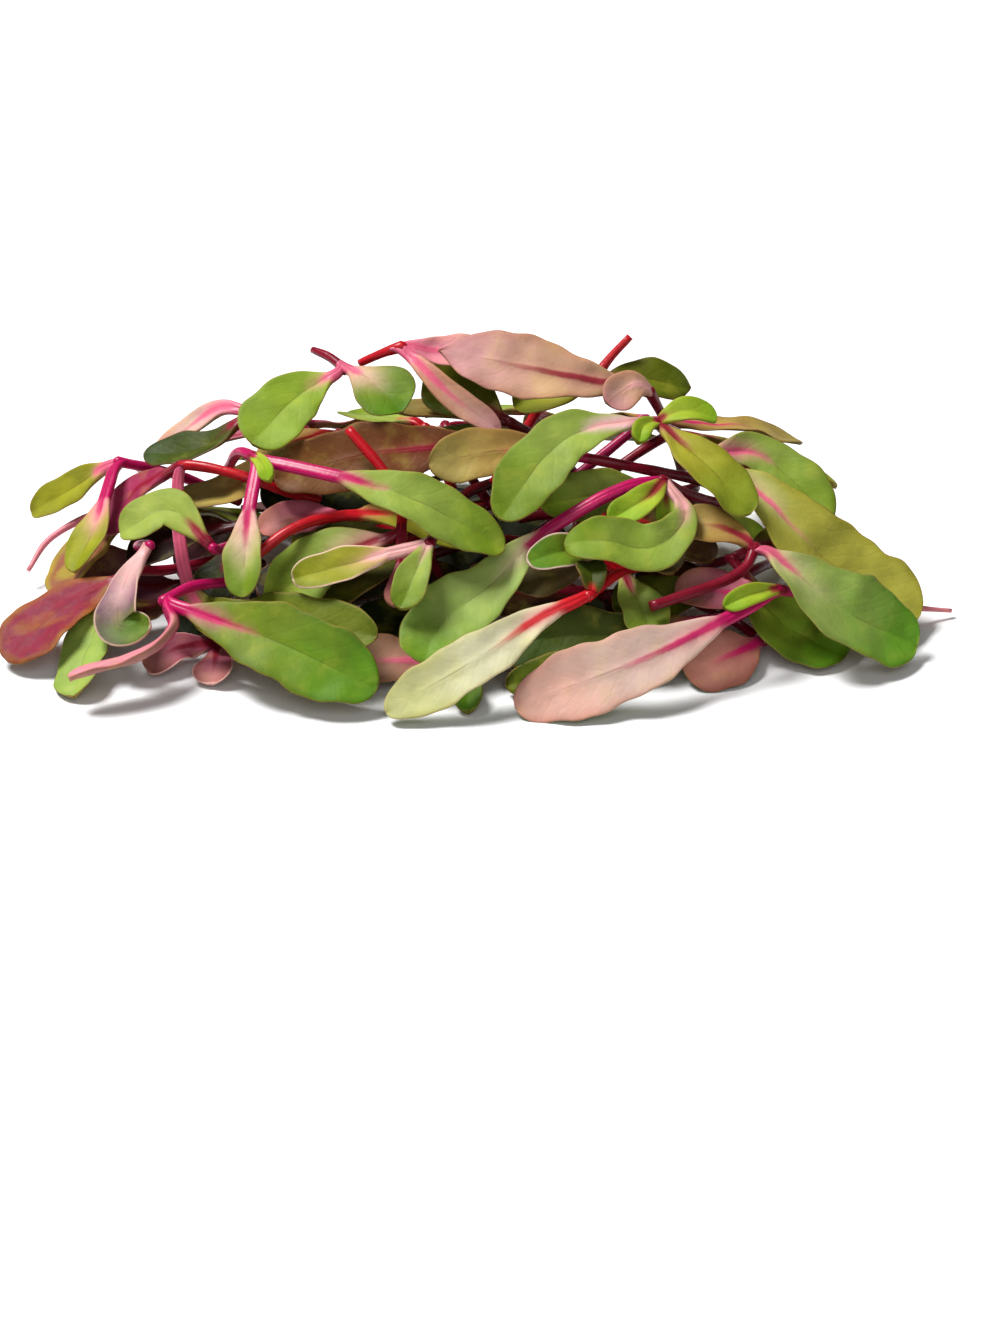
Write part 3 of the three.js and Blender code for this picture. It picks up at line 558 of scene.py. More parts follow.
def leaf_rings(blade, shares, root, lifts, number):
    """The points of a leaf's skin, how far across it each is, and half its width at every ring."""
    leaf = blade.leaf
    middles, side, facing = blade.frame(shares)
    middles[:, 2] += lifted(blade, shares, lifts)
    middles = out_of_stem(shares, middles, blade, root)
    half = blade.half_width(shares, 0.02)
    thinning = np.maximum.accumulate(blade.thinning(half))
    run = shares * blade.curve.length
    half = half * (0.72 + 0.28 * np.clip(run / NODE_REACH, 0, 1))

    # Its outline wavers, each side in its own way
    phase = 2 * math.pi * even_step(number, GOLDEN)
    waver = np.where(SECTION < 0, 0.4 + phase, 2.2 - phase)
    waves = swing(run, LONG_WAVE, waver) + 0.5 * swing(run, SHORT_WAVE, -waver)
    out = SECTION * half[:, None] * (1 + leaf["wave"] * WAVE_SHARE * thinning[:, None] * waves)

    # Its halves rise from the rib to the edges, ripple there, and are puckered all over
    cup = (leaf["cup"] * half / (leaf["width"] / 2))[:, None]
    ripple = swing(run, RIPPLE_WAVE, 1.7 * waver)
    pucker = swing(run, PUCKER_WAVE, 3 * phase) * np.sin(2.6 * SECTION + phase)
    rise = cup * np.abs(SECTION) ** BEND * 0.92
    rise = rise + leaf["wave"] * RIPPLE_HEIGHT * thinning[:, None] * ripple * SECTION**2
    rise = rise + PUCKER_HEIGHT * thinning[:, None] * pucker

    # The petiole is round, the blade thin to its edges, with a rib that stands out of one face
    thick = PETIOLE_THICKNESS * (1 - thinning) + VISIBLE_BLADE * thinning
    swell = np.sqrt(np.maximum(1 - np.abs(SECTION) ** (2 + 5 * thinning[:, None]), 0))
    ridge = np.exp(-((out / 0.45) ** 2)) * (thinning * (1 - shares) ** 0.5)[:, None]
    ridge_out = ridge * (0.26 if leaf["under"] else -0.16)
    ridge_in = ridge * (-0.06 if leaf["under"] else 0.24)
    raised = np.where(SHOWN > 0, ridge_out, np.where(SHOWN < 0, -ridge_in, 0))
    up = rise + SHOWN * swell * thick[:, None] / 2 + raised
    points = middles[:, None] + side[:, None] * out[..., None] + facing[:, None] * up[..., None]
    return points, out, half


def leaf_piece(blade, lifts, root, number):
    """A leaf's skin with what its material reads."""
    leaf = blade.leaf
    length = blade.curve.length
    start = np.linspace(0, NODE_REACH / length, 9)[:-1]
    shares = start[-1] + (1 - start[-1]) * (1 - (1 - np.linspace(0, 1, LEAF_RINGS)[1:]) ** 1.3)
    shares = np.concatenate([start, shares])
    points, out, half = leaf_rings(blade, shares, root, lifts, number)
    points = above_table(points + HEAP_SHIFT)

    petiole = leaf["petiole"]
    along = ((shares - petiole) / (1 - petiole))[:, None] + 0 * SECTION
    across = 0 * out + SECTION
    run = 0 * out + (shares * length)[:, None]
    rim = np.minimum((1 - np.abs(SECTION)) * half[:, None], length - run)
    # The leaf's colours are darkened by this share: painted shade standing in for the shade deep inside
    # the heap
    shade = leaf["shade"]
    outer, tip, inner, flush = FACES[leaf["face"]]
    stored = {
        "leaf_place": np.stack([along, across, 0 * out + SHOWN / 2 + 0.5], axis=2),
        "leaf_size": np.stack([out, run, rim], axis=2),
        "leaf_marks": np.array([leaf["reach"], leaf["spread"], leaf["blotches"]]),
        "leaf_rim": np.array([0.8 if leaf["rim"] else 0.3, 0, 0]),
        "outer_colour": shade * np.array(linear(leaf["outer"] or outer)),
        "tip_colour": shade * np.array(linear(leaf["tip"] or leaf["outer"] or tip)),
        "inner_colour": shade * np.array(linear(inner)),
        "flush_colour": shade * np.array(linear(leaf["flush"] or flush)),
        "stalk_colour": np.array(linear(STALKS[leaf["stalk"]])),
        "rim_colour": np.array(linear(leaf["rim"] or DRY_EDGE)),
    }
    return rolled_grid("leaf", points, stored)


def stem_piece(stem, lifts, colour, shape, number):
    """A stem's skin. It may taper and fade toward its cut end, and is a little thicker where it
    forks."""
    taper, fade, knot = shape
    count = max(6, math.ceil(stem.curve.length / STEM_RING_STEP))
    shares = np.concatenate([[0, 0], np.linspace(0, 1, count), [1, 1]])
    radii = np.concatenate([[0, 0.35], np.full(count, VISIBLE_STEM_RADIUS), [0.5, 0.0]])
    run = shares * stem.curve.length
    radii = radii * (1 + 0.05 * np.sin(run * 1.1 + number) + knot * np.exp(-((run / 1.5) ** 2)))
    radii = radii * (1 - taper * 0.65 * shares**1.5)
    middles, side, facing = stem.frame(shares)
    middles[:, 2] += lifted(stem, shares, lifts)
    down = scaled(middles[3] - middles[2])
    middles[0] -= 0.5 * down
    middles[1] -= 0.38 * down
    turns = np.linspace(0, 2 * math.pi, STEM_SIDES + 1)
    out = side[:, None] * np.cos(turns)[:, None] + facing[:, None] * np.sin(turns)[:, None]
    points = above_table(middles[:, None] + out * radii[:, None, None] + HEAP_SHIFT)
    flat = 0 * run[:, None] + 0 * turns
    faded = (fade * shares**1.5)[:, None, None]
    red = np.array(linear(STALKS[colour])) * (1 - faded) + np.array(linear(FADED_STEM)) * faded
    stored = {
        "leaf_place": np.stack([flat - 1, flat + np.sin(turns), flat + 1], axis=2),
        "leaf_size": np.stack([flat, flat + run[:, None], flat + 1], axis=2),
        "leaf_marks": np.array([0.5, 0.5, 0]),
        "leaf_rim": np.array([0, 0, 0]),
    }
    for part in ("outer", "tip", "inner", "flush", "stalk", "rim"):
        stored[part + "_colour"] = red
    return rolled_grid("stem", points, stored)


def leaf(points, width, face, stalk="magenta", **options):
    """A leaf: its points and width, the face that shows, and the stalk's colour. Its options are
    its course (the petiole's share, the turn at base and tip, how much it leans to the front,
    whether it lies level and whether it has fewer rings), its outline (how pointed its tip is, how
    far its edges rise, how wavy it is), its looks (how far the rib's red and the flush at the base
    reach, how blotched it is, and its painted shade: the share of its colours kept, lower for leaves in
    the heap's shaded inside) and colours of its own."""
    under = face in ("cream", "beige", "blush", "brown", "rose", "tan", "mottled", "purple", "painted_deep_shade")
    course = dict(petiole=0.15, turn=(0, 0), lean=FRONT_LEAN, level=False, plain=False)
    outline = dict(point=0, cup=0.7, wave=1)
    looks = dict(reach=0.75 if under else 0.35, spread=0.35, blotches=0, shade=1)
    own = dict(outer=None, tip=None, flush=None, rim=None)
    row = dict(points=points, width=width, face=face, stalk=stalk, under=under)
    return row | course | outline | looks | own | options


made = []


def laid_arms(fork, stem, leaves):
    return [Stem(fork, stem)] + [Blade(fork, each) for each in leaves]


def corners_of(node):
    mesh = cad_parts[node].data
    corners = np.zeros(len(mesh.vertices) * 3)
    mesh.vertices.foreach_get("co", corners)
    return np.unique(np.round(corners.reshape(-1, 3) / MM, 4), axis=0) - HEAP_SHIFT


def seedling(node, slot, stalk, fork, stem, leaves, taper=0, fade=0):
    """Makes a seedling as one piece, over the node that it stands for."""
    arms = laid_arms(fork, stem, leaves)
    lifts, _ = lifts_of(arms, corners_of(node))
    knot = 0.12 if len(leaves) > 1 else -0.1
    parts = [stem_piece(arms[0], lifts[0], stalk, (taper, fade, knot), len(made))]
    inside = np.array([NODE_DEPTH / arms[0].curve.length])
    point, down = arms[0].curve.read(inside)
    point[:, 2] += lifted(arms[0], inside, lifts[0])
    for number, (arm, lift) in enumerate(zip(arms[1:], lifts[1:])):
        parts.append(leaf_piece(arm, lift, (point, -down), 7 * len(made) + number))
    bpy.ops.object.select_all(action="DESELECT")
    for part in parts:
        part.select_set(True)
    bpy.context.view_layer.objects.active = parts[0]
    bpy.ops.object.join()
    piece = bpy.context.object
    piece.name = "chard_" + node
    bpy.ops.object.mode_set(mode="EDIT")
    bpy.ops.mesh.select_all(action="SELECT")
    bpy.ops.mesh.remove_doubles(threshold=0.002 * MM)
    bpy.ops.mesh.normals_make_consistent(inside=False)
    bpy.ops.object.mode_set(mode="OBJECT")
    bpy.ops.object.shade_smooth()
    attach(piece, "root")
    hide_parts(node)
    made.append(piece)


seedling("top_beige", "cream_leaf", "crimson", (19.5, -1, 23.7), ((22, 3, 17), (24, 8, 9)), (
    leaf(
        ((10, -2, 26), (-4.5, 0.2, 28.2)), 7.8, "beige", "crimson",
        petiole=0.13, point=0.7, turn=(-25, -25), reach=0.8,
    ),
    leaf(((17.5, -2.5, 25), (14.5, -5, 24)), 4.5, "beige", "pale", petiole=0.13, turn=(-20, -20)),
))
seedling("top_pink", "blush_leaf", "red", (-8.5, 1.5, 29.3), ((-10.5, 1.8, 28.2), (-13.5, 2.5, 26)), (
    leaf(((-4.5, -2.5, 28.2), (2.5, -5.5, 24.3)), 3.2, "beige", "pink", turn=(20, 20)),
    leaf(
        ((-3, 3, 27.2), (5, 4.5, 24.8)), 5.6, "blush", "pink",
        petiole=0.04, turn=(20, 20), spread=0.8, flush="d3788e", outer="d4a79a",
    ),
), taper=0.4)
seedling("top_right_two_tone", "green_leaf", "crimson", (20, -5.5, 21.8), ((24, 0, 17), (28, 5, 10)), (
    leaf(
        ((12.5, -9, 22.8), (7.5, -12.5, 21), (2.5, -19, 16.5)), 7.2, "dusty", "pale",
        petiole=0.13, spread=0.4, flush="d9b2bc",
    ),
    leaf(
        ((25, -11, 19.8), (30.5, -15, 15.2)), 6.5, "fresh", "crimson",
        petiole=0.1, reach=0.4, tip="7f8c22",
    ),
    leaf(((23.5, -5, 23), (27, -5, 22)), 3.6, "lime", "crimson", petiole=0.13, plain=True, reach=0.2),
    leaf(((18.5, -7.5, 22), (18, -9, 21)), 2.4, "lime", "crimson", petiole=0.13, plain=True, reach=0.2),
))
seedling("top_left_green", "green_leaf", "crimson", (-15, 1, 25.5), ((-17, 3.5, 26), (-19, 5.5, 26)), (
    leaf(
        ((-20.5, -2, 23.6), (-25.5, -7.5, 20.3)), 8, "fresh", "pink",
        turn=(-20, -20), reach=0.15, outer="7e9626",
    ),
    leaf(
        ((-12, -2, 25.5), (-8.5, -5.5, 23.3)), 7.2, "green", "pink",
        point=0.3, spread=0.7, reach=0.2, flush="c9a08c",
    ),
), taper=0.5)
seedling("top_long_brown", "brown_leaf", "crimson", (11, -9, 19.5), (
    (18, -9, 18), (25, -4, 14), (29, 0, 10),
), (
    leaf(
        ((4, -7, 21.8), (-6, -8, 22), (-23, -9.5, 18)), 7.5, "brown", "crimson",
        petiole=0.3, turn=(-15, -20),
    ),
    leaf(((2.5, -10, 20.5), (-5.5, -11.5, 19.5)), 6, "tan", "magenta", turn=(-20, -20), reach=0.5),
))
seedling("top_kite", "olive_leaf", "dark", (3.5, -1, 20.5), ((8, 2, 16), (12, 5, 10)), (
    leaf(((-1.5, 1.5, 23.5), (-6.5, 1, 24)), 7, "olive", "dark", turn=(-25, -25)),
    leaf(((-3, 1, 20.5), (-9.5, 2, 20.5)), 3, "tan", "dark"),
))
seedling("top_right_olive", "olive_leaf", "red", (13, 3.5, 22.5), ((15, 5, 25), (17.5, 6, 27.5)), (
    leaf(((18, 4, 23), (24.5, 4.5, 21.5)), 5.5, "olive", "crimson", point=0.5, turn=(25, 25), reach=0.2),
    leaf(((9, 2, 22), (4, 1.5, 21)), 4.5, "fresh", "crimson", turn=(-20, -20)),
), taper=0.5)

# --- The seedlings at the left end
# The same kind of seedling. Two of them have blotched leaves, and one leaf is curled to a scoop.
seedling("left_arched", "green_leaf", "magenta", (-29.5, -18, 13), ((-29, -16, 11.5), (-27, -12, 10)), (
    leaf(
        ((-34.5, -14, 15.5), (-40, -14.5, 11)), 5.5, "dusty", "crimson",
        petiole=0.13, reach=0.3, spread=0.25, outer="8d9c42",
    ),
))
seedling("left_scoop", "purple_leaf", "magenta", (-36.5, -17.5, 12.5), (
    (-37.5, -14.5, 11), (-38.5, -11, 9),
), (
    leaf(
        ((-39, -21, 9.5), (-39.5, -25, 6.5), (-36, -25.7, 6.8)), 5, "purple", "pale",
        petiole=0.13, rim="cfaa98", reach=0.4, spread=0.8, flush="d0a8a0", outer="7a4a66",
        tip="4e6e10",
    ),
))
seedling("left_mottled_large", "crimson_leaf", "crimson", (-39, -15, 8), ((-35, -11, 6), (-29, -6, 5)), (
    leaf(
        ((-45, -17.5, 6.5), (-52.3, -24.3, 1.5)), 8.5, "mottled", "crimson",
        petiole=0.13, blotches=1, reach=0.3,
    ),
    leaf(
        ((-43, -22.5, 3.2), (-44.3, -31.2, 0.9)), 6.5, "green", "pink",
        petiole=0.13, reach=0.2, outer="8fa64c",
    ),
))
seedling("left_magenta_stalk", "green_leaf", "magenta", (-41.5, -0.5, 14.5), (
    (-35, 3, 11), (-28, 6, 6),
), (
    leaf(
        ((-43, -9, 11.5), (-45.5, -14.5, 7.5)), 4.8, "fresh", "magenta",
        petiole=0.4, spread=0.7, flush="e0919a",
    ),
    leaf(
        ((-46.5, 1.8, 10.2), (-52, 2.5, 6.3)), 4.6, "fresh", "pink",
        turn=(-25, -25), reach=0.2, outer="86861a",
    ),
))
seedling("left_red_arc", "green_leaf", "red", (-34, -6.5, 17), (
    (-32.5, -7, 17.6), (-25, -9, 16.5), (-18, -7, 13),
), (
    leaf(
        ((-33.7, -11, 12.3), (-32, -16.5, 9.5), (-28, -21.5, 9), (-22.5, -24.5, 9), (-11, -28.5, 7.5)),
        7, "olive", "pink", petiole=0.3, reach=0.25, outer="68741a",
    ),
    leaf(((-39, -4, 14), (-42, -9, 10)), 6, "rose", "crimson", outer="8f2a4c"),
))
seedling("left_crest", "cream_leaf", "pink", (-26, 0.5, 20), ((-22, 3, 15), (-17, 6, 9)), (
    leaf(
        ((-30, 2.5, 19.3), (-37.5, 3, 13.3)), 3.4, "blush", "pink",
        turn=(-15, -15), spread=0.6, flush="cf6a86",
    ),
    leaf(((-31.5, -1, 16.5), (-38.5, 0.5, 14.5)), 5, "dark", "crimson", reach=0.1),
))
seedling("left_mottled_inner", "crimson_leaf", "pink", (-36, -2.5, 12.5), (
    (-43, 1, 8), (-49.5, -1, 5), (-52, -4.5, 2.5),
), (
    leaf(((-43.5, -6, 9), (-47.5, -14, 4)), 7, "mottled", "crimson", blotches=0.8, outer="a08a34"),
    leaf(((-31, 2, 12), (-24, 6, 12)), 6.5, "olive", "crimson"),
), taper=0.8, fade=0.8)
seedling("left_curled_pair", "blush_leaf", "crimson", (-29, -21, 3), ((-24, -15, 3), (-17, -9, 3)), (
    leaf(((-29, -24.5, 3), (-29.5, -28, 0.8)), 5, "rose", "crimson", rim="dcaaa0"),
    leaf(((-33, -22, 2.5), (-36.5, -25.5, 0.8)), 5, "rose", "crimson", rim="dcaaa0"),
))

# --- The seedlings along the front
# Four long leaves lie down to the table here, two of them with their pale undersides up.
seedling("front_left_green", "green_leaf", "magenta", (-35, -22, 7.7), ((-32, -19, 8), (-28, -16, 7)), (
    leaf(
        ((-22, -29, 6.5), (-11, -33.5, 3)), 8.8, "green", "magenta",
        petiole=0.13, cup=1, reach=0.42, spread=0.4,
    ),
    leaf(
        ((-33.5, -25.5, 6.6), (-36.5, -29.5, 5.4), (-44.5, -32.9, 4)), 3.4, "rose", "magenta",
        turn=(50, 50), outer="cf8a92",
    ),
))
seedling("front_cream", "cream_leaf", "red", (12, -26, 10.5), ((16, -21, 11), (21, -15, 9)), (
    leaf(((6.5, -28.5, 9), (0, -32, 6), (-10, -35.5, 1.2)), 6, "cream", "red", petiole=0.13, reach=0.45),
    leaf(((12.5, -24.5, 12), (12, -22, 12.5)), 3.4, "dark", "red", petiole=0.1, plain=True),
))
seedling("front_blush", "blush_leaf", "magenta", (33, -21, 9), (
    (41, -15, 5), (49, -13, 2.5), (54, -11.5, 1.2),
), (
    leaf(
        ((28.5, -25, 8.2), (17.5, -31, 5.5), (4, -34, 1.5)), 8, "blush", "magenta",
        petiole=0.25, reach=0.62,
    ),
    leaf(((28, -20, 8), (22, -18.5, 8)), 5.5, "rose", "magenta", plain=True),
    leaf(((30, -23.5, 9.6), (27, -25, 9)), 2.6, "lime", "crimson", petiole=0.13, plain=True, reach=0.2),
), taper=0.9, fade=0.9)
seedling("front_right_pink", "blush_leaf", "crimson", (32, -20.5, 3.5), ((28, -16, 3), (22, -11, 3)), (
    leaf(((28, -25, 3), (23, -27.5, 1.4)), 7, "brown", "magenta", outer="a86e60"),
    leaf(((38, -15, 3.5), (45, -11, 2)), 7, "brown", "magenta"),
))
seedling("front_middle_brown", "brown_leaf", "magenta", (-3, -25.5, 3), ((2, -21, 3), (8, -12, 3)), (
    leaf(((-9, -26.5, 3), (-15.5, -25.5, 3)), 6, "brown", "pink", outer="a37a60"),
    leaf(((-1.5, -30, 2), (-1, -34, 0.9)), 3.5, "green", "pink", petiole=0.1),
))
seedling("front_long_pair", "olive_leaf", "magenta", (28, -20, 5), ((34, -14, 4), (40, -9, 3)), (
    leaf(((20, -23.5, 6), (10, -24.5, 6.5), (0, -26.5, 6)), 6.5, "dark", "magenta"),
    leaf(((20, -24.8, 4.2), (12, -28, 2.2), (3, -29.5, 1.5)), 6, "olive", "crimson"),
))

# --- The seedlings at the right end
# The largest leaves: one lies down to the table and one is folded along its rib.
seedling("right_large_green", "green_leaf", "crimson", (31, -17.5, 13), (
    (28.5, -21, 10.5), (19, -25.5, 9),
), (
    leaf(
        ((35, -20, 10.2), (41.5, -22, 6), (49, -21.5, 1.8)), 10, "green", "pink",
        petiole=0.1, cup=1.2, reach=0.3, spread=0.5, flush="bcb884", outer="86984a", tip="5e8c22",
    ),
    leaf(((27, -16, 14.5), (22.5, -15, 14.5)), 5, "tan", "crimson", petiole=0.13),
))
seedling("right_large_folded", "green_leaf", "red", (24.5, -4.5, 17.5), (
    (31, 0, 14.5), (38, -1.5, 12), (42, -7.5, 9),
), (
    leaf(
        ((31, -8.5, 16), (38, -13, 12), (50, -15.5, 3.5)), 11, "fresh", "pink",
        petiole=0.1, cup=1.4, reach=0.5, spread=0.5, flush="b4b87c", outer="a09c3c",
    ),
    leaf(
        ((31, -2, 17.3), (35.5, -3.5, 14.8), (40, -8, 11.5)), 6.6, "dusty", "pink",
        petiole=0.13, turn=(20, 20), spread=0.5, reach=0.5,
    ),
))
seedling("right_low_green", "green_leaf", "crimson", (29, -12, 8.5), ((24, -6, 6), (19, 0, 4)), (
    leaf(((32, -18, 6), (41, -22.5, 1.2)), 8.5, "green", "crimson"),
    leaf(((36, -7, 7.5), (45, -4, 3)), 7.5, "olive", "crimson"),
))
seedling("right_inner_olive", "olive_leaf", "crimson", (27, -16, 6), ((32, -9, 5), (35, -3, 3)), (
    leaf(((22, -17, 7), (15, -17.5, 7)), 6.5, "olive", "crimson"),
    leaf(((24, -12, 7), (18, -10, 8)), 5, "brown", "crimson"),
))

# --- The seedlings in the middle
# They lie lower than the others, so that their red stalks show between the leaves.
seedling("middle_magenta_stalk", "green_leaf", "magenta", (-24.5, -11, 20), (
    (-27, -7, 19), (-29, 0, 13),
), (
    leaf(
        ((-15, -15, 19.7), (-6.5, -17.5, 18.5), (3, -19.5, 17)), 6.5, "dusty", "magenta",
        petiole=0.35, reach=0.3,
    ),
    leaf(
        ((-25.5, -17.5, 15.5), (-26, -24, 9.5)), 4.6, "dusty", "magenta",
        petiole=0.4, spread=0.9, reach=0.5, flush="dcb0a8",
    ),
    leaf(
        ((-23.8, -12.5, 20), (-23.2, -14, 18.8)), 2, "lime", "crimson",
        petiole=0.13, plain=True, reach=0.2,
    ),
))
seedling("middle_long_green", "green_leaf", "crimson", (20.5, -12, 17.8), (
    (24.5, -8.5, 14), (30, -3, 10), (33, 3, 8),
), (
    leaf(
        ((13.5, -15, 17.8), (7, -17.5, 16.8), (2, -20.5, 14.6), (-4, -26, 11.5), (-6, -31, 7)),
        8, "dusty", "magenta",
        petiole=0.4, reach=0.12, spread=0.4, flush="cdb896", outer="98ac5a", tip="64861e",
    ),
    leaf(
        ((23, -16, 15.5), (20, -20.5, 14), (14.5, -21.5, 14), (9.5, -21, 13.5)), 6, "dusty", "pale",
        reach=0.1,
    ),
    leaf(
        ((19, -15.5, 17.5), (14.5, -18.5, 16)), 3.6, "lime", "crimson",
        petiole=0.13, plain=True, reach=0.6,
    ),
    leaf(
        ((20.8, -14, 16.5), (21, -17.5, 14.2)), 3, "lime", "crimson",
        petiole=0.13, plain=True, reach=0.6,
    ),
))
seedling("middle_small_pale", "green_leaf", "crimson", (-5.5, -20.5, 14), (
    (-4, -16, 14), (-1, -12, 13),
), (
    leaf(((-7, -24, 12), (-8.5, -27, 9.5)), 4, "dusty", "pale", petiole=0.1, reach=0.1),
    leaf(
        ((-14.5, -22, 12.3), (-20.5, -23, 11)), 4.5, "fresh", "pale",
        petiole=0.3, spread=0.6, rim="e0b8a8",
    ),
))
seedling("middle_red_stub", "green_leaf", "red", (-8.5, -17.5, 15), ((-9, -14, 18), (-14.5, -9, 23)), (
    leaf(
        ((-16, -18.5, 13.5), (-24, -20.5, 10)), 8, "dusty", "crimson",
        petiole=0.13, point=0.4, reach=0.4, spread=0.6,
    ),
    leaf(((-8.3, -21.3, 12), (-9.5, -24, 9.8)), 3, "rose", "crimson", petiole=0.4),
))
seedling("middle_green_point", "green_leaf", "red", (-15, -13.5, 17), (
    (-21, -17, 15.5), (-27, -20, 12.5),
), (
    leaf(((-8, -12, 18), (0.5, -11.5, 18.5)), 6.5, "fresh", "red", petiole=0.13, point=0.4),
    leaf(((-19.5, -12, 15.5), (-24.5, -13, 13)), 5, "rose", "crimson", petiole=0.13),
))
seedling("middle_small_boat", "green_leaf", "dark", (16, -18, 11.5), ((21, -12, 9), (26, -6, 6)), (
    leaf(((18, -23, 10), (19, -27, 7)), 5.5, "dusty", "crimson", petiole=0.1),
    leaf(
        ((12.5, -18, 14.5), (9, -20, 16.5), (5.5, -21.5, 16)), 4.2, "green", "red",
        petiole=0.3, rim="e0b8b0", spread=0.5,
    ),
))
seedling("middle_pale", "green_leaf", "crimson", (21.5, -6.5, 15.5), ((25, -1, 12), (23, 4, 8)), (
    leaf(((15, -9.5, 16.5), (7, -13.5, 15.5)), 6, "dusty", "crimson", turn=(-10, -10)),
    leaf(((28, -3, 13), (34, 1, 10)), 6, "dusty", "crimson"),
))

# --- The seedlings inside
# They carry the others, and show only in the gaps. The lowest two leaves lie flat on the table.
# Their colours are darkened to this share: painted shade for the heap's dark inside
INSIDE_PAINTED_SHADE = 0.28

seedling("lowest", "green_leaf", "dark", (-4, -3, 0.8), ((2, 0, 2), (8, 5, 4)), (
    leaf(
        ((-11, -4, 0.34), (-19, -6, 0.34), (-26, -9, 0.34)), 9, "dark", "dark",
        shade=INSIDE_PAINTED_SHADE, level=True, cup=0,
    ),
    leaf(
        ((3, -6, 0.34), (11, -9, 0.34), (18, -11, 0.34)), 9, "dark", "dark",
        shade=INSIDE_PAINTED_SHADE, level=True, cup=0,
    ),
))
seedling("left_inner_olive", "olive_leaf", "dark", (-27, -7, 11), ((-21, -3, 8), (-14, -1, 6)), (
    leaf(((-34, -6, 11.5), (-40, -8, 9)), 6, "painted_deep_shade", "dark", shade=INSIDE_PAINTED_SHADE),
    leaf(((-29, -12, 9.5), (-33, -19, 6.5)), 6.5, "dark", "crimson", shade=INSIDE_PAINTED_SHADE),
))
seedling("left_inner_crimson", "crimson_leaf", "dark", (-33, -9, 8), ((-28, -4, 7), (-22, 1, 6)), (
    leaf(((-38, -8.5, 6.5), (-45.5, -6, 4.5)), 8, "rose", "dark", shade=INSIDE_PAINTED_SHADE, plain=True),
    leaf(((-32.5, -5, 7), (-30.5, 0.5, 6)), 7, "rose", "dark", shade=INSIDE_PAINTED_SHADE, plain=True),
))
seedling("left_inner_brown", "brown_leaf", "dark", (-34, -12.5, 6.5), ((-30, -7, 5), (-25, -2, 4)), (
    leaf(((-38, -16, 5), (-42, -20, 3)), 6, "brown", "dark", shade=INSIDE_PAINTED_SHADE),
))
seedling("inner_left", "olive_leaf", "dark", (-6, -10, 7), ((0, -8, 8), (6, -6, 7)), (
    leaf(((-14, -12.5, 6), (-25, -15.5, 5.5)), 8, "painted_deep_shade", "crimson", shade=INSIDE_PAINTED_SHADE),
    leaf(((-4, -15, 6), (-6, -21, 4.5)), 7, "dark", "crimson", shade=INSIDE_PAINTED_SHADE),
))
seedling("inner_right", "brown_leaf", "dark", (14, -12, 7), ((20, -10, 8), (26, -8, 6)), (
    leaf(((7, -15, 6), (-1, -19, 4.5)), 8, "brown", "crimson", shade=INSIDE_PAINTED_SHADE),
    leaf(((17, -17, 6), (20, -22, 4.5)), 6, "painted_deep_shade", "crimson", shade=INSIDE_PAINTED_SHADE),
))
seedling("middle_inner_dark", "green_leaf", "dark", (0, -14, 8), ((5, -9, 9), (9, -4, 9)), (
    leaf(((-6, -17, 8), (-13, -20, 6.5)), 7, "dark", "dark", shade=INSIDE_PAINTED_SHADE),
    leaf(((-1, -9, 9), (-8, -7, 9)), 6, "dark", "dark", shade=INSIDE_PAINTED_SHADE),
))
seedling("inner_back_left", "green_leaf", "dark", (-4, 0, 6), ((-1, 4, 8), (3, 8, 8)), (
    leaf(((-13, -2, 5), (-25, -3, 4)), 9, "dark", "crimson", shade=INSIDE_PAINTED_SHADE, plain=True),
    leaf(((4, -2, 5), (10, -5, 5)), 8, "dark", "crimson", shade=INSIDE_PAINTED_SHADE, plain=True),
))
seedling("inner_back_right", "olive_leaf", "dark", (13, 0, 7), ((14, 5, 8), (12, 9, 8)), (
    leaf(((20, 2, 7), (29, 3, 5)), 9, "painted_deep_shade", "crimson", shade=INSIDE_PAINTED_SHADE, plain=True),
    leaf(((7, 4, 5), (-1, 7, 5)), 8, "painted_deep_shade", "crimson", shade=INSIDE_PAINTED_SHADE, plain=True),
))

# --- The seedlings at the back and in the bed
# The rest of the heap, spread evenly over its far side and its middle. Each was offered several
# places when it was laid, and is made in the one that its node took.
SILVER = 0.414214
BRONZE = 0.302776
OFFERS = 9
BACK_COUNT = 9
BED_COUNT = 7
FILL_FACES = ("green", "tan", "olive", "dusty", "rose", "fresh", "brown")
FILL_SLOTS = (
    "green_leaf", "cream_leaf", "olive_leaf", "green_leaf", "blush_leaf", "green_leaf", "brown_leaf",
)
FILL_STALKS = ("crimson", "magenta", "red")


def heap_height(x, y):
    depth = HEAP_FRONT if y < HEAP_RIDGE_Y else HEAP_BACK
    along = abs(x / HEAP_HALF_LENGTH) ** 2.6
    return HEAP_HEIGHT * (1 - (along + ((y - HEAP_RIDGE_Y) / depth) ** 2) ** 0.75)


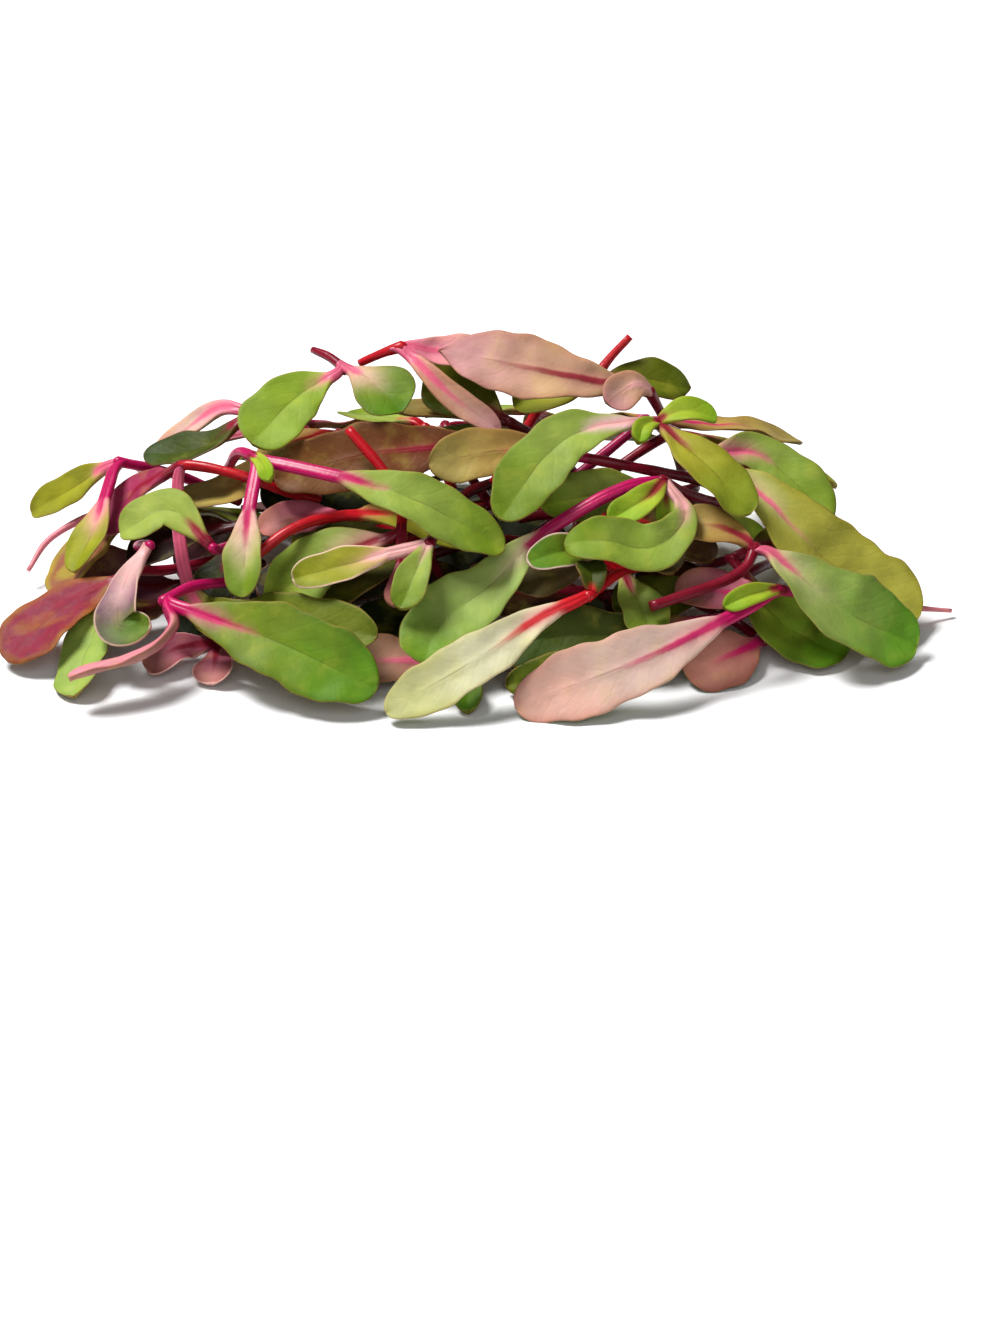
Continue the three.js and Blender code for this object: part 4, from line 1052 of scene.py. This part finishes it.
def fill_row(index, bearing, ring, depth, shade=1):
    """The fork, stem and leaves of a seedling that fills the heap."""
    reach = HEAP_BACK if 0 < bearing < math.pi else HEAP_FRONT

    def place_at(share, turn):
        x = HEAP_HALF_LENGTH * share * math.cos(bearing + turn)
        y = HEAP_RIDGE_Y + reach * share * math.sin(bearing + turn)
        return (x, y, max(heap_height(x, y) * depth, 1))

    swing = 0.5 * (even_step(index, SILVER) - 0.5)
    side = 1 if index % 2 else -1
    inward = place_at(ring * 0.45, swing)
    stem = ((inward[0], inward[1], inward[2] * 0.5),)
    face = FILL_FACES[index % len(FILL_FACES)]
    stalk = FILL_STALKS[index % len(FILL_STALKS)]
    first = (place_at(ring + 0.17, swing * 0.6), place_at(ring + 0.31, swing))
    second = (place_at(ring + 0.1, side * 0.3), place_at(ring + 0.16, side * 0.62))
    leaves = (
        leaf(first, 6.5 + 2.5 * even_step(index, BRONZE), face, stalk, plain=True, lean=0, shade=shade),
        leaf(second, 6 + 2 * even_step(index, GOLDEN), face, stalk, plain=True, lean=0, shade=shade),
    )
    return FILL_SLOTS[index % len(FILL_SLOTS)], stalk, place_at(ring, 0), stem, leaves


def best_offer(node, rows):
    """The row whose ring points the node has."""
    corners = corners_of(node)
    return max(rows, key=lambda row: lifts_of(laid_arms(*row[2:]), corners)[1])


for number in range(BACK_COUNT):
    node = f"back_seedling_{number + 1}"
    rows = []
    for offer in range(OFFERS):
        bearing = math.pi * (0.06 + 0.9 * even_step(number, GOLDEN) + 0.02 * (offer - 4))
        ring = 0.58 - 0.036 * number - 0.03 * (offer % 3)
        rows.append(fill_row(number * OFFERS + offer, bearing, ring, 0.78))
    seedling(node, *best_offer(node, rows))

# The bed seedlings' colours are darkened as painted shade, since they lie in the heap's shaded middle
for number in range(BED_COUNT):
    node = f"bed_seedling_{number + 1}"
    rows = []
    for index in range(number * OFFERS, (number + 1) * OFFERS):
        bearing = 2 * math.pi * even_step(index, GOLDEN)
        rows.append(fill_row(index, bearing, 0.2 + 0.28 * even_step(index, SILVER), 0.46, INSIDE_PAINTED_SHADE))
    seedling(node, *best_offer(node, rows))
